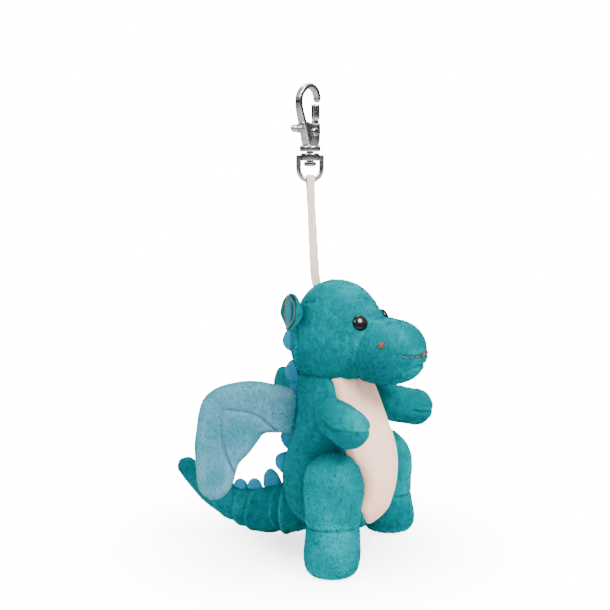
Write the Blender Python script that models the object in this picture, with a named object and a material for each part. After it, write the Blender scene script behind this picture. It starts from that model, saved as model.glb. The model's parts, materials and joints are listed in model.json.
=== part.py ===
"""Plush dragon key charm: a small stuffed dragon hung by a cotton tape from a swivel trigger snap.

Frame: metres, +Z up, and the dragon faces -Y. The origin is the inside top of the snap's hook, where the
charm hangs. Sizes below are millimetres, taken from the floor under the soles and from the dragon's
mid-plane; at() turns such a point into the frame. "Left" is the dragon's own left, at +X.
"""

import math

import bmesh
import bpy
import numpy as np
from mathutils import Vector

# Driving dimensions.
HANG = np.array((0.0, 20.7, 162.2))  # inside top of the hook
CLOTH = 1.0  # plush with its backing
GAP = 0.3  # between pieces that touch
HEAD_CORE = np.array((0.0, 0.0, 76.0))  # inside both the skull and the muzzle
NECK_HOLE = 6.0
TORSO_AXIS_Y = 8.6
HIP_SEAT = 15.0  # from the torso's axis to the flat hip seats
HIP_TURN = math.radians(20.7)  # the hips look this far forward of straight sideways
HIP_HEIGHT = 30.0
ANKLE_HEIGHT = 15.8
ARM_ROOT = np.array((16.7, 3.1, 51.0))
ARM_ENDS = {1: np.array((26.5, -8.6, 47.8)), -1: np.array((-26.0, -7.8, 50.4))}  # left, right
ARM_RADIUS = 6.5
TAIL_ROOT = np.array((0.0, 27.0, 12.5))
TAIL_RADIUS = 9.2
WING_ROOT = np.array((6.0, 24.6, 0.0))
WING_SPREADS = {1: math.radians(46), -1: math.radians(35)}  # left, right: outward from straight back
WING_HALF_THICK = 2.2
WING_GROOVE = 2.8
EYE_SPOT = np.array((9.4, -3.4, 82.9))
EYE_RADIUS = 2.95
EAR_SPOT = np.array((14.6, 17.2, 85.2))
EAR_STAND = 1.9
EAR_HALF_WIDTH = 4.6
EAR_HALF_HEIGHT = 6.6
EAR_DEPTH = 2.6
EAR_CLOTH = 1.1
NOSTRIL_SPOT = np.array((12.8, -13.2, 76.7))
MOUTH_HALF_WIDTH = 9.7
MOUTH_HEIGHT = 72.8
SNAP_TURN = math.radians(-17)  # of the hook's plane from +X
EYELET_TURN = math.radians(-55)  # of the stirrup's plane from +X
SNAP_AXIS = HANG * (1, 1, 0)
GATE_PIVOT = (0.7, 147.4)  # in the hook's plane: across, height
STIRRUP_HALF = 4.05  # to the wire's middle
STIRRUP_WIRE = 0.9
BAR_HEIGHT = 130.55  # middle of the stirrup's bottom bar
TAPE_RADIUS = 0.6
TAPE_FOOT_Y = 18.7

X, Y, Z = np.eye(3)
ROUND_BODY = 20
ROUND_LIMB = 16


# Working tools.
def at(point):
    return (np.asarray(point, float) - HANG) * 0.001


def clear_scene():
    for thing in list(bpy.data.objects):
        bpy.data.objects.remove(thing, do_unlink=True)


def finish(name, colour, roughness, metallic=0.0):
    made = bpy.data.materials.new(name)
    made.use_nodes = True
    shader = made.node_tree.nodes["Principled BSDF"]
    shader.inputs["Base Color"].default_value = (*colour, 1.0)
    shader.inputs["Roughness"].default_value = roughness
    shader.inputs["Metallic"].default_value = metallic
    return made


def solid(name, shape, material=None, pivot=HANG):
    """One object from (points, faces) in millimetres, its origin at the pivot. No material makes a helper."""
    points, faces = shape
    mesh = bpy.data.meshes.new(name)
    mesh.from_pydata((at(points) - at(pivot)).tolist(), [], [list(face) for face in faces])
    build = bmesh.new()
    build.from_mesh(mesh)
    bmesh.ops.recalc_face_normals(build, faces=build.faces)
    build.to_mesh(mesh)
    build.free()
    mesh.shade_smooth()
    mesh.set_sharp_from_angle(angle=math.radians(40))
    made = bpy.data.objects.new(name, mesh)
    made.location = Vector(at(pivot))
    bpy.context.scene.collection.objects.link(made)
    if material is None:
        made.hide_render = True
        made.display_type = "WIRE"
    else:
        mesh.materials.append(material)
    return made


def boolean(target, other, operation):
    step = target.modifiers.new(f"{operation.lower()} {other.name}", "BOOLEAN")
    step.operation = operation
    step.solver = "EXACT"
    step.object = other


def cut(target, name, *shapes):
    boolean(target, solid(f"{target.name} {name}", together(*shapes)), "DIFFERENCE")


def keep(target, name, shape):
    boolean(target, solid(f"{target.name} {name}", shape), "INTERSECT")


def weld(target, name, shape):
    boolean(target, solid(f"{target.name} {name}", shape), "UNION")


def together(*shapes):
    """Shapes that don't meet, as one list of points and faces."""
    points, faces, base = [], [], 0
    for some_points, some_faces in shapes:
        points.append(np.asarray(some_points, float))
        faces += [[base + i for i in face] for face in some_faces]
        base += len(some_points)
    return np.vstack(points), faces


def loft(rings, first_tip=None, last_tip=None):
    """Skin over rings (n, m, 3), closed by a tip point at each end or, without one, by a flat cap."""
    rings = np.asarray(rings, float)
    count, around = rings.shape[:2]
    points = list(rings.reshape(-1, 3))
    faces = []
    for ring in range(count - 1):
        for i in range(around):
            j = (i + 1) % around
            low, high = ring * around, (ring + 1) * around
            faces.append((low + i, low + j, high + j, high + i))
    for tip, start, turn in ((first_tip, 0, -1), (last_tip, (count - 1) * around, 1)):
        loop = [start + i for i in range(around)][::turn]
        if tip is None:
            faces.append(loop)
            continue
        points.append(np.asarray(tip, float))
        faces += [(loop[i], loop[(i + 1) % around], len(points) - 1) for i in range(around)]
    return np.array(points), faces


def ring(centre, across, along, half_across, half_along, around):
    turn = 2 * np.pi * np.arange(around) / around
    centre, across, along = (np.asarray(v, float) for v in (centre, across, along))
    return centre + np.outer(half_across * np.cos(turn), across) + np.outer(half_along * np.sin(turn), along)


def unit(vector):
    vector = np.asarray(vector, float)
    return vector / np.linalg.norm(vector)


def square_to(direction):
    """Two unit vectors square to the direction and to each other."""
    side = unit(np.cross(direction, Z if abs(unit(direction)[2]) < 0.9 else X))
    return side, unit(np.cross(direction, side))


def turned(start, direction, profile, around=16):
    """A turned piece: (distance along the axis, radius) for each step of its profile."""
    direction = unit(direction)
    side, up = square_to(direction)
    return loft([ring(start + direction * s, side, up, r, r, around) for s, r in profile])


def rod(start, end, radius, around=16):
    start, end = np.asarray(start, float), np.asarray(end, float)
    return turned(start, end - start, ((0, radius), (np.linalg.norm(end - start), radius)), around)


def ball(centre, radius, around=16):
    angles = np.linspace(-np.pi / 2, np.pi / 2, around // 2 + 1)[1:-1]
    rings = []
    for a in angles:
        wide = radius * math.cos(a)
        rings.append(ring(centre + Z * radius * math.sin(a), X, Y, wide, wide, around))
    return loft(rings, centre - Z * radius, centre + Z * radius)


def block(centre, half, axes=(X, Y, Z)):
    """A box of half sizes along three axes."""
    u, v, w = (np.asarray(axis, float) * size for axis, size in zip(axes, half))
    face = [np.asarray(centre, float) + a * u + b * v for a, b in ((-1, -1), (1, -1), (1, 1), (-1, 1))]
    return loft([[corner - w for corner in face], [corner + w for corner in face]])


def plate(outline, low, high, place):
    """An outline of (a, b) points extruded from low to high. place(a, b, c) gives the point."""
    return loft([[place(a, b, low) for a, b in outline], [place(a, b, high) for a, b in outline]])


def smooth(table, steps, closed=False):
    """Rows of a table joined by a Catmull-Rom curve, with this many steps between rows."""
    rows = np.asarray(table, float)
    if closed:
        rows = np.vstack([rows[-1], rows, rows[:2]])
    else:
        rows = np.vstack([2 * rows[0] - rows[1], rows, 2 * rows[-1] - rows[-2]])
    t = np.arange(steps)[:, None] / steps
    found = []
    for a, b, c, d in zip(rows, rows[1:], rows[2:], rows[3:]):
        found.append(b + 0.5 * t * (c - a + t * (2 * a - 5 * b + 4 * c - d + t * (3 * (b - c) + d - a))))
    curve = np.vstack(found)
    return curve if closed else np.vstack([curve, rows[-2]])


def shrunk(shape, inset):
    """The same skin moved inwards along its normals, for a lining or the filling inside a cover."""
    points, faces = shape
    normals = np.zeros_like(points)
    for face in faces:
        corners = points[list(face)]
        turned_by = sum(np.cross(a, b) for a, b in zip(corners, np.roll(corners, -1, axis=0)))
        normals[list(face)] += turned_by
    fans = [(f[0], f[i], f[i + 1]) for f in faces for i in range(1, len(f) - 1)]
    volume = sum(np.dot(points[a], np.cross(points[b], points[c])) for a, b, c in fans)
    normals *= np.sign(volume) / np.linalg.norm(normals, axis=1)[:, None]
    return points - normals * inset, faces


def cover_of(name, blank, material, pivot=HANG):
    """A sewn cover as a skin of cloth under the blank's surface. Its seams are opened by later cuts."""
    made = solid(name, blank, material, pivot)
    cut(made, "inside", shrunk(blank, CLOTH))
    return made


def filling_of(name, blank, pivot=HANG):
    return solid(name, shrunk(blank, CLOTH + GAP), WADDING, pivot)


# Shapes of the stuffed pieces.
def head_field(points):
    """Rough distance outside the head, in mm: a skull and a blunt muzzle, blended where they meet."""
    skull = (np.array((0, 9.6, 78.0)), np.array((17.3, 15.8, 19.0)), 2.0)
    muzzle = (np.array((0, -10.3, 72.3)), np.array((13.4, 12.5, 11.3)), 2.2)
    blend = 2.0
    total = 0
    for centre, half, power in (skull, muzzle):
        reach = (np.abs((points - centre) / half) ** power).sum(-1) ** (1 / power)
        total = total + np.exp((1 - reach) * half.mean() / blend)
    return -blend * np.log(total)


def reach_field(start, directions, value=0.0, furthest=45.0):
    """How far from the start, along each direction, the head's field takes this value."""
    near, far = np.zeros(directions.shape[:-1]), np.full(directions.shape[:-1], furthest)
    for _ in range(30):
        middle = (near + far) / 2
        outside = head_field(start + directions * middle[..., None]) > value
        near, far = np.where(outside, near, middle), np.where(outside, middle, far)
    return near


def head_blank(inset=0.0):
    tilt = np.linspace(0, np.pi, 15)[1:-1]
    rings = []
    for a in tilt:
        ways = ring(Y * math.cos(a), X, Z, math.sin(a), math.sin(a), ROUND_BODY)
        rings.append(HEAD_CORE + ways * reach_field(HEAD_CORE, ways, -inset)[:, None])
    tips = [HEAD_CORE + way * reach_field(HEAD_CORE, way, -inset) for way in (Y, -Y)]
    return loft(rings, *tips)


def on_head(spot):
    """The skin's point nearest a spot on the head, and the way it faces there."""
    way = unit(spot - HEAD_CORE)
    point = HEAD_CORE + way * reach_field(HEAD_CORE, way)
    step = 0.05
    slope = [head_field(point + axis * step) - head_field(point - axis * step) for axis in (X, Y, Z)]
    return point, unit(slope)


# height, middle, half depth
TORSO_RINGS = (
    (7.0, 12.0, 6.0),
    (9.5, 10.8, 12.0),
    (15.2, 9.7, 17.8),
    (21.5, 9.2, 20.2),
    (28.2, 8.6, 20.7),
    (35.5, 7.9, 19.6),
    (42.0, 7.4, 17.6),
    (49.5, 8.0, 15.7),
    (57.0, 9.9, 14.2),
    (62.5, 11.0, 12.2),
    (66.0, 11.2, 8.6),
)
TORSO_WIDTH = 0.95  # of its depth


def torso_blank(inset=0.0):
    rings = [ring((0, y, z), X, Y, half * TORSO_WIDTH, half, ROUND_BODY) for z, y, half in TORSO_RINGS]
    shape = loft(rings, (0, 12.5, 6.0), (0, 11.2, 67.6))
    return shrunk(shape, inset) if inset else shape


def hip_frame(side):
    """Centre of a hip seat and the way it faces."""
    facing = np.array((side * math.cos(HIP_TURN), -math.sin(HIP_TURN), 0))
    return np.array((0, TORSO_AXIS_Y, HIP_HEIGHT)) + facing * HIP_SEAT, facing


def beyond_hip(side, start, depth=20.0):
    """The space outside a plane that is parallel to a hip seat and this far outside it."""
    seat, facing = hip_frame(side)
    centre = seat + facing * (start + depth) - Z * 15.5
    return block(centre, (depth, 30, 27.5), (facing, np.cross(Z, facing), Z))


def torso_seats(inset=0.0):
    """Where legs, arms, tail and wings meet the torso, cut this much deeper."""
    seats = [ball(TAIL_ROOT, TAIL_RADIUS + GAP * 1.5 + inset)]
    for side in (-1, 1):
        mirror = np.array((side, 1, 1))
        seats.append(beyond_hip(side, -inset))
        seats.append(ball(ARM_ROOT * mirror, ARM_RADIUS + GAP + inset))
        root = WING_ROOT * mirror
        seats.append(rod(root + Z * (39 - inset), root + Z * (60 + inset), WING_GROOVE + inset))
    return seats


def leg_blank(side):
    """height, swell along the hip's facing, half width across it; the middle drifts out towards the foot"""
    _, facing = hip_frame(side)
    rings = []
    table = (
        (0.0, 6.2, 6.0),
        (1.2, 8.4, 8.2),
        (6.0, 9.9, 9.6),
        (11.0, 9.5, 9.3),
        (15.8, 9.2, 9.1),
        (21.0, 9.8, 9.6),
        (28.0, 10.3, 10.3),
        (33.5, 8.6, 9.4),
        (37.5, 6.0, 6.6),
    )
    foot = np.array((28.0, 2.0, 0) if side > 0 else (-26.9, -1.8, 0))
    thigh = np.array((side * 20.4, 0.9, 0))
    for height, swell, half in table:
        share = min(height / 28.0, 1.0)
        centre = foot + (thigh - foot) * share + Z * height
        rings.append(ring(centre, facing, np.cross(Z, facing), swell, half, ROUND_LIMB))
    return loft(rings, None, thigh + Z * 39.8)


def limb(path, radii, root_radius, tip_radius):
    """A stuffed tube along a path in one vertical plane, with a ball for a root and a round end."""
    path = np.asarray(path, float)
    ways = np.gradient(path, axis=0)
    rings, bend = [], np.radians((68, 45, 22))
    first, last = unit(path[1] - path[0]), unit(path[-1] - path[-2])
    side, up = square_to(first)
    for a in bend:
        wide = root_radius * math.cos(a)
        rings.append(ring(path[0] - first * root_radius * math.sin(a), side, up, wide, wide, ROUND_LIMB))
    for point, way, radius in zip(path, ways, radii):
        side, up = square_to(way)
        rings.append(ring(point, side, up, radius, radius, ROUND_LIMB))
    for a in bend[::-1]:
        wide = tip_radius * math.cos(a)
        rings.append(ring(path[-1] + last * tip_radius * math.sin(a), side, up, wide, wide, ROUND_LIMB))
    return loft(rings, path[0] - first * root_radius, path[-1] + last * tip_radius)


def arm_blank(side):
    root = ARM_ROOT * (side, 1, 1)
    path = [root + (ARM_ENDS[side] - root) * share for share in (0, 0.5, 1)]
    return limb(path, (ARM_RADIUS, ARM_RADIUS, ARM_RADIUS * 1.03), ARM_RADIUS, ARM_RADIUS * 1.03)


# behind the torso, height, radius
TAIL_LINE = (
    (27.0, 12.5, 9.2),
    (34.0, 10.4, 8.8),
    (41.0, 9.2, 8.0),
    (48.0, 9.3, 7.0),
    (55.0, 10.9, 6.2),
    (61.5, 13.5, 5.4),
    (67.5, 17.2, 4.5),
    (72.5, 21.3, 3.4),
)


def tail_blank():
    return limb([(0, y, z) for y, z, _ in TAIL_LINE], [r for _, _, r in TAIL_LINE], TAIL_RADIUS, 3.4)


WING_OUTLINE = (
    (-0.6, 43.0),
    (-0.7, 57.0),
    (8.0, 60.0),
    (17.0, 60.6),
    (25.5, 58.0),
    (31.5, 54.2),
    (35.0, 48.0),
    (36.2, 39.0),
    (36.5, 29.0),
    (35.0, 21.0),
    (30.5, 16.0),
    (25.0, 16.6),
    (22.4, 22.5),
    (21.0, 28.0),
    (17.5, 32.8),
    (13.5, 37.4),
    (10.0, 41.6),
    (4.0, 41.2),
)


def wing_place(side):
    """Turns (out along the wing, height, thickness) into a point."""
    spread = WING_SPREADS[side]
    out = np.array((side * math.sin(spread), math.cos(spread), 0))
    through = np.array((side * math.cos(spread), -math.sin(spread), 0))
    root = WING_ROOT * (side, 1, 1)
    return lambda a, b, c: root + out * a + Z * b + through * c


def spine_blank(foot, way, half_base, height):
    """A scallop in the mid-plane: a half round standing on its foot, padded to a rounded edge."""
    way = unit(way)
    base = np.cross(X, way)
    arc = np.linspace(0, np.pi, 9)
    outline = [(half_base * math.cos(a), height * math.sin(a)) for a in arc]
    layers = ((-1.5, 0.72), (-0.9, 1.0), (0.9, 1.0), (1.5, 0.72))
    foot = np.asarray(foot, float)
    return loft([[foot + base * u * s + way * v * s + X * thick for u, v in outline] for thick, s in layers])


# The snap: hook, gate, pins and stirrup.
def snap_place(a, b, c):
    """Across the hook's plane, height, out of the plane towards the front."""
    across = np.array((math.cos(SNAP_TURN), math.sin(SNAP_TURN), 0))
    return SNAP_AXIS + across * a + Z * b + np.cross(across, Z) * c


def bar_along(line, place):
    """A bar with chamfered corners along (across, height, half thickness, half width) in a plane."""
    line = np.asarray(line, float)
    ways = np.gradient(line[:, :2], axis=0)
    corner = 0.45
    front = ((1, corner), (corner, 1), (-corner, 1), (-1, corner))
    section = front + tuple((-s, -t) for s, t in front)
    rings = []
    for (a, b, thick, wide), (da, db) in zip(line, ways / np.linalg.norm(ways, axis=1)[:, None]):
        rings.append([place(a - db * s * thick, b + da * s * thick, t * wide) for s, t in section])
    return loft(rings)


def make_hook():
    line = (
        (-1.5, 142.8, 1.1, 1.75),
        (-2.6, 147.0, 1.0, 1.75),
        (-4.0, 151.5, 0.85, 1.6),
        (-5.3, 156.0, 0.8, 1.4),
        (-5.1, 159.8, 0.85, 1.3),
        (-3.1, 162.3, 0.95, 1.3),
        (-0.5, 163.2, 1.0, 1.3),
        (2.0, 162.1, 1.0, 1.25),
        (3.3, 159.9, 1.0, 1.2),
        (3.5, 157.5, 0.95, 1.1),
    )
    made = solid("hook_body", bar_along(smooth(line, 3), snap_place), NICKEL)
    cheeks = ((-2.2, 142.3), (2.3, 142.3), (3.4, 146.5), (3.4, 150.6), (1.4, 149.9))
    cheeks += ((-1.6, 150.6), (-3.4, 151.0), (-3.6, 149.0))
    weld(made, "cheeks", plate(cheeks, -1.75, 1.75, snap_place))
    weld(made, "flange", rod(SNAP_AXIS + Z * 140.6, SNAP_AXIS + Z * 142.5, 3.65, ROUND_BODY))
    slot = ((-8, 145.0), (6, 145.0), (6, 151.6), (-2.5, 151.6), (-8, 150.3))
    cut(made, "slot", plate(slot, -0.95, 0.95, snap_place))
    cut(made, "pin hole", rod(snap_place(*GATE_PIVOT, -4), snap_place(*GATE_PIVOT, 4), 0.95))
    cut(made, "swivel hole", rod(SNAP_AXIS + Z * 139, SNAP_AXIS + Z * 142.2, 1.45))


def make_gate():
    """The gate turns on its pin: a round bar that meets the hook's nose, and a thumb knob behind."""
    pivot = snap_place(*GATE_PIVOT, 0)
    a, b = GATE_PIVOT
    made = solid("gate_lever", rod(snap_place(a, b, -0.65), snap_place(a, b, 0.65), 1.9), NICKEL, pivot)
    stem = ((a - 0.6, b), (a + 1.7, b), (3.6, 150.0), (3.6, 152.4), (1.8, 152.4), (0.9, 149.6))
    weld(made, "stem", plate(stem, -0.65, 0.65, snap_place))
    weld(made, "bar", turned(snap_place(2.7, 151.5, 0), Z, ((0, 1.1), (0.6, 1.5), (5.0, 1.5), (5.5, 1.2))))
    arm = ((a, b + 0.2), (a, b + 1.8), (-5.0, 149.4), (-5.0, 147.8))
    weld(made, "arm", plate(arm, -0.6, 0.6, snap_place))
    steps = ((0, 1.3), (0.2, 1.6), (1.1, 1.6), (1.3, 0.8), (2.0, 0.8))
    steps += ((2.3, 1.15), (3.1, 1.35), (3.9, 1.15), (4.3, 0.6))
    outward = snap_place(-1, 0, 0) - snap_place(0, 0, 0)
    weld(made, "knob", turned(snap_place(-4.7, 148.6, 0), outward, steps))
    cut(made, "bore", rod(snap_place(a, b, -3), snap_place(a, b, 3), 0.95))


def make_snap_pins():
    head, inner, outer = 1.5, 2.05, 2.55
    half = ((inner - 0.001, 0.7), (inner, head), (outer, head * 0.8))
    steps = tuple((-along, radius) for along, radius in half[::-1]) + half
    pivot = snap_place(*GATE_PIVOT, 0)
    solid("gate_rivet", turned(pivot, snap_place(*GATE_PIVOT, 1) - pivot, steps), STEEL)
    shank = ((135.4, 1.6), (135.8, 2.15), (137.0, 2.15), (137.1, 1.2), (142.0, 1.2))
    solid("swivel_rivet", turned(SNAP_AXIS, Z, shank, ROUND_LIMB), NICKEL)


def make_gate_spring():
    """A small coil under the gate's arm, which pushes the gate shut."""
    turns, steps, radius, low, high = 3, 8, 0.5, 145.2, 146.2
    points = []
    for i in range(turns * steps + 1):
        angle = 2 * np.pi * i / steps
        rise = low + (high - low) * i / (turns * steps)
        points.append(snap_place(-1.2 + radius * math.cos(angle), rise, radius * math.sin(angle)))
    tube("gate_spring", points, 0.14, STEEL, 1)


def tube(name, points, radius, material, resolution=2):
    curve = bpy.data.curves.new(name, "CURVE")
    curve.dimensions = "3D"
    curve.bevel_depth = radius * 0.001
    curve.bevel_resolution = resolution
    curve.use_fill_caps = True
    line = curve.splines.new("POLY")
    line.points.add(len(points) - 1)
    for spot, point in zip(line.points, points):
        spot.co = (*at(point), 1.0)
    curve.materials.append(material)
    made = bpy.data.objects.new(name, curve)
    bpy.context.scene.collection.objects.link(made)
    return made


def stirrup_place(a, b, c):
    across = np.array((math.cos(EYELET_TURN), math.sin(EYELET_TURN), 0))
    return SNAP_AXIS + across * a + Z * b + np.cross(across, Z) * c


def make_stirrup():
    """An eye that turns on the swivel rivet, with a U of wire under it."""
    bend = BAR_HEIGHT + STIRRUP_HALF
    arc = np.linspace(np.pi, 2 * np.pi, 13)
    line = [(-STIRRUP_HALF, 139.4)]
    line += [(STIRRUP_HALF * math.cos(t), bend + STIRRUP_HALF * math.sin(t)) for t in arc]
    line += [(STIRRUP_HALF, 139.4)]
    rings = []
    ways = np.gradient(np.array(line), axis=0)
    for (a, b), way in zip(line, ways):
        da, db = unit(way)
        angles = 2 * np.pi * np.arange(12) / 12
        spread = [(STIRRUP_WIRE * math.cos(t), STIRRUP_WIRE * math.sin(t)) for t in angles]
        rings.append([stirrup_place(a - db * flat, b + da * flat, out) for flat, out in spread])
    made = solid("stirrup", loft(rings), NICKEL, SNAP_AXIS + Z * BAR_HEIGHT)
    weld(made, "eye", rod(SNAP_AXIS + Z * 137.4, SNAP_AXIS + Z * 140.1, 3.2, ROUND_BODY))
    ears = [(-4.3, 137.7), (4.3, 137.7), (4.3, 139.7), (-4.3, 139.7)]
    weld(made, "ears", plate(ears, -1.3, 1.3, stirrup_place))
    cut(made, "eye bore", rod(SNAP_AXIS + Z * 136, SNAP_AXIS + Z * 142, 1.5))


def make_tape():
    """The cotton tape's middle line: up from the head, over the stirrup's bar and down again."""
    over = STIRRUP_WIRE + GAP + TAPE_RADIUS + 0.05
    up = [(0.95, 95.3, TAPE_FOOT_Y), (0.85, 104.0, 19.2), (0.85, 114.0, 19.8)]
    up += [(1.1, 122.0, 20.3), (1.7, 127.8, 20.6)]
    arc = np.linspace(0, np.pi, 7)
    bend = [(over * math.cos(t), BAR_HEIGHT + over * math.sin(t), SNAP_AXIS[1]) for t in arc]
    down = [(-c, height, y) for c, height, y in up[::-1]]
    line = smooth(up + bend + down, 4)
    points = [stirrup_place(0, height, c) + Y * (y - SNAP_AXIS[1]) for c, height, y in line]
    length = np.concatenate([[0], np.cumsum(np.linalg.norm(np.diff(points, axis=0), axis=1))])
    count = int(length[-1] / 2.6)
    even = np.linspace(0, length[-1], count)
    spread = np.array([np.interp(even, length, np.array(points)[:, axis]) for axis in range(3)]).T
    tube("strap_loop", spread, TAPE_RADIUS, COTTON)


# The head and what is on it.
def seam_side(front, gap):
    """The space in front of, or behind, the seam that joins the muzzle to the head."""
    facing = unit((0, 1.0, 0.25))
    point = np.array((0, -6.5, 84.0)) + facing * (-1 if front else 1) * (gap / 2 + 30)
    return block(point, (40, 30, 60), (X, facing, np.cross(X, facing)))


def make_head():
    torso_top = shrunk(torso_blank(), -GAP)
    filling = solid("head_stuffing", head_blank(CLOTH + GAP), WADDING)
    cut(filling, "neck", shrunk(torso_blank(), -GAP * 2 - CLOTH))
    covers = {}
    for name, front in (("head_cover", False), ("muzzle_cover", True)):
        covers[name] = solid(name, head_blank(), PLUSH)
        cut(covers[name], "inside", head_blank(CLOTH))
        cut(covers[name], "neck", torso_top)
        cut(covers[name], "seam", seam_side(not front, -GAP))
    for side, label in ((-1, "right"), (1, "left")):
        point, facing = on_head(EYE_SPOT * (side, 1, 1))
        inner = -CLOTH - GAP - 0.6
        rim = 1.0
        dome = [(inner - 1.6, 0.75), (rim - 0.05, 0.75), (rim, EYE_RADIUS), (rim + 0.5, EYE_RADIUS * 0.96)]
        dome += [(rim + 1.3, EYE_RADIUS * 0.72), (rim + 1.8, EYE_RADIUS * 0.32)]
        solid(f"eye_{label}", turned(point, facing, dome), EYE_BLACK)
        ends = (point + facing * inner, point + facing * (inner - 0.9))
        washer = solid(f"eye_washer_{label}", rod(*ends, 2.6), NYLON)
        cut(washer, "bore", rod(point, point - facing * 5, 1.05))
        cut(covers["head_cover"], f"eye hole {label}", rod(point + facing * 3, point - facing * 3, 1.05))
        cut(filling, f"washer pocket {label}", rod(point + facing, point + facing * (inner - 2.1), 3.0))
        point, facing = on_head(NOSTRIL_SPOT * (side, 1, 1))
        solid(f"nostril_{label}", turned(point, facing, ((0.35, 1.3), (0.65, 1.35), (0.85, 1.0))), THREAD)
    across = np.linspace(-1, 1, 15)
    level = np.full(len(across), -8.0)
    spots = np.column_stack([across * MOUTH_HALF_WIDTH, level, MOUTH_HEIGHT + 0.35 * np.abs(across)])
    ways = np.tile(-Y, (len(spots), 1))
    line = spots + ways * reach_field(spots, ways, 0.65)[:, None]
    tube("mouth_stitch", line, 0.3, THREAD, 1)


def make_ears():
    """Each ear is a cupped almond of plush with a lining in its hollow, sewn on by its back edge."""
    clear_of_head = shrunk(head_blank(), -GAP)
    for side, label in ((-1, "right"), (1, "left")):
        root, facing = on_head(EAR_SPOT * (side, 1, 1))
        out = unit(facing + X * side * 0.45)
        up = unit(Z - Y * 0.15 - out * out[2])
        wide = np.cross(up, out)
        rim = root + facing * EAR_STAND + out * (EAR_DEPTH + EAR_CLOTH)
        kinds = (("outer", -EAR_CLOTH, EAR_CLOTH, 1.0, PLUSH), ("lining", GAP, 0.7, 0.8, LIGHT_PLUSH))
        for name, low, thick, share, material in kinds:
            layers = [ear_layer(rim, out, wide * share, up * share, level) for level in (low, low + thick)]
            tips = [rim + out * (level - EAR_DEPTH) for level in (low, low + thick)]
            ear = solid(f"ear_{name}_{label}", loft(layers[0] + layers[1][::-1], *tips), material)
            if name == "outer":
                cut(ear, "head", clear_of_head)


def ear_layer(rim, out, wide, up, level):
    """Rings from the middle of the cup to its rim. The almond narrows towards its lower tip."""
    turn = 2 * np.pi * np.arange(ROUND_LIMB) / ROUND_LIMB
    pinch = 1 - 0.35 * np.clip(-np.sin(turn), 0, 1) ** 2
    rings = []
    for spread in (0.3, 0.6, 0.85, 1.0):
        flat = np.outer(np.cos(turn) * spread * EAR_HALF_WIDTH * pinch, wide)
        flat += np.outer(np.sin(turn) * spread * EAR_HALF_HEIGHT, up)
        rings.append(rim + flat + out * (level - EAR_DEPTH * (1 - spread**2)))
    return rings


# The body and its limbs.
def belly_window(half_gap):
    outline = ((0, 10.5), (6.0, 13.5), (11.5, 18.5), (14.6, 24.0), (15.6, 31.0), (15.0, 38.0))
    outline += ((13.8, 43.0), (12.4, 49.0), (11.6, 55.0), (11.0, 62.0))
    right = [(x - half_gap, z) for x, z in outline[1:]]
    both = [(0, outline[0][1] + half_gap)] + right + [(-x, z) for x, z in right[::-1]]
    return plate(both, -40.0, 1.0, lambda a, b, c: np.array((a, c, b)))


def make_torso():
    """A pear of plush with a smooth belly panel let in at the front, stuffed firm."""
    inner = solid("torso lining", torso_blank(CLOTH))
    cut(inner, "seats", *torso_seats(CLOTH))
    for name, material in (("torso_cover", PLUSH), ("belly_panel", BELLY)):
        made = solid(name, torso_blank(), material)
        cut(made, "seats", *torso_seats())
        boolean(made, inner, "DIFFERENCE")
        if name == "torso_cover":
            cut(made, "belly window", belly_window(-GAP / 2))
            cut(made, "neck hole", rod((0, 11.2, 60), (0, 11.2, 75), NECK_HOLE))
        else:
            keep(made, "belly window", belly_window(GAP / 2))
    filling = solid("torso_stuffing", torso_blank(CLOTH + GAP), WADDING)
    cut(filling, "seats", *torso_seats(CLOTH + GAP))


def make_legs():
    floor = block((0, 0, ANKLE_HEIGHT - 25), (60, 60, 25))
    for side, label in ((-1, "right"), (1, "left")):
        blank = leg_blank(side)
        seat, facing = hip_frame(side)
        leg = cover_of(f"leg_cover_{label}", blank, PLUSH, seat)
        cut(leg, "ankle", (floor[0] + Z * GAP / 2, floor[1]))
        cut(leg, "seat", beyond_hip(side, GAP - 40))
        foot = cover_of(f"foot_cover_{label}", blank, PLUSH, seat)
        cut(foot, "ankle", block((0, 0, ANKLE_HEIGHT + GAP / 2 + 25), (60, 60, 25)))
        filling = filling_of(f"leg_stuffing_{label}", blank, seat)
        cut(filling, "seat", beyond_hip(side, GAP * 2 - 40))


def make_arms():
    for side, label in ((-1, "right"), (1, "left")):
        root = ARM_ROOT * (side, 1, 1)
        way = unit(ARM_ENDS[side] - root)
        arm = cover_of(f"arm_cover_{label}", arm_blank(side), PLUSH, root)
        cut(arm, "closing seam", rod(root - way * 9, root, 3.2))
        filling_of(f"arm_stuffing_{label}", arm_blank(side), root)


def make_tail():
    tail = cover_of("tail_cover", tail_blank(), PLUSH, TAIL_ROOT)
    cut(tail, "closing seam", rod(TAIL_ROOT - Y * 14, TAIL_ROOT, 4.0))
    filling_of("tail_stuffing", tail_blank(), TAIL_ROOT)


def make_wings():
    """Two cloths sewn face to face round a thin wadding, on a seam down the back."""
    for side, label in ((-1, "right"), (1, "left")):
        place = wing_place(side)
        outline = smooth(WING_OUTLINE, 2, closed=True)
        pivot = WING_ROOT * (side, 1, 1) + Z * 50
        inside = shrink_outline(outline, 1.6)
        solid(f"wing_front_{label}", plate(outline, 0.6, WING_HALF_THICK, place), LIGHT_PLUSH, pivot)
        solid(f"wing_back_{label}", plate(outline, -WING_HALF_THICK, -0.6, place), PLUSH, pivot)
        solid(f"wing_wadding_{label}", plate(inside, -GAP, GAP, place), WADDING, pivot)


def shrink_outline(outline, inset):
    """The outline moved inwards, square to its own run."""
    ways = np.roll(outline, -1, axis=0) - np.roll(outline, 1, axis=0)
    ways /= np.linalg.norm(ways, axis=1)[:, None]
    return outline + np.column_stack([ways[:, 1], -ways[:, 0]]) * inset


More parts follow.
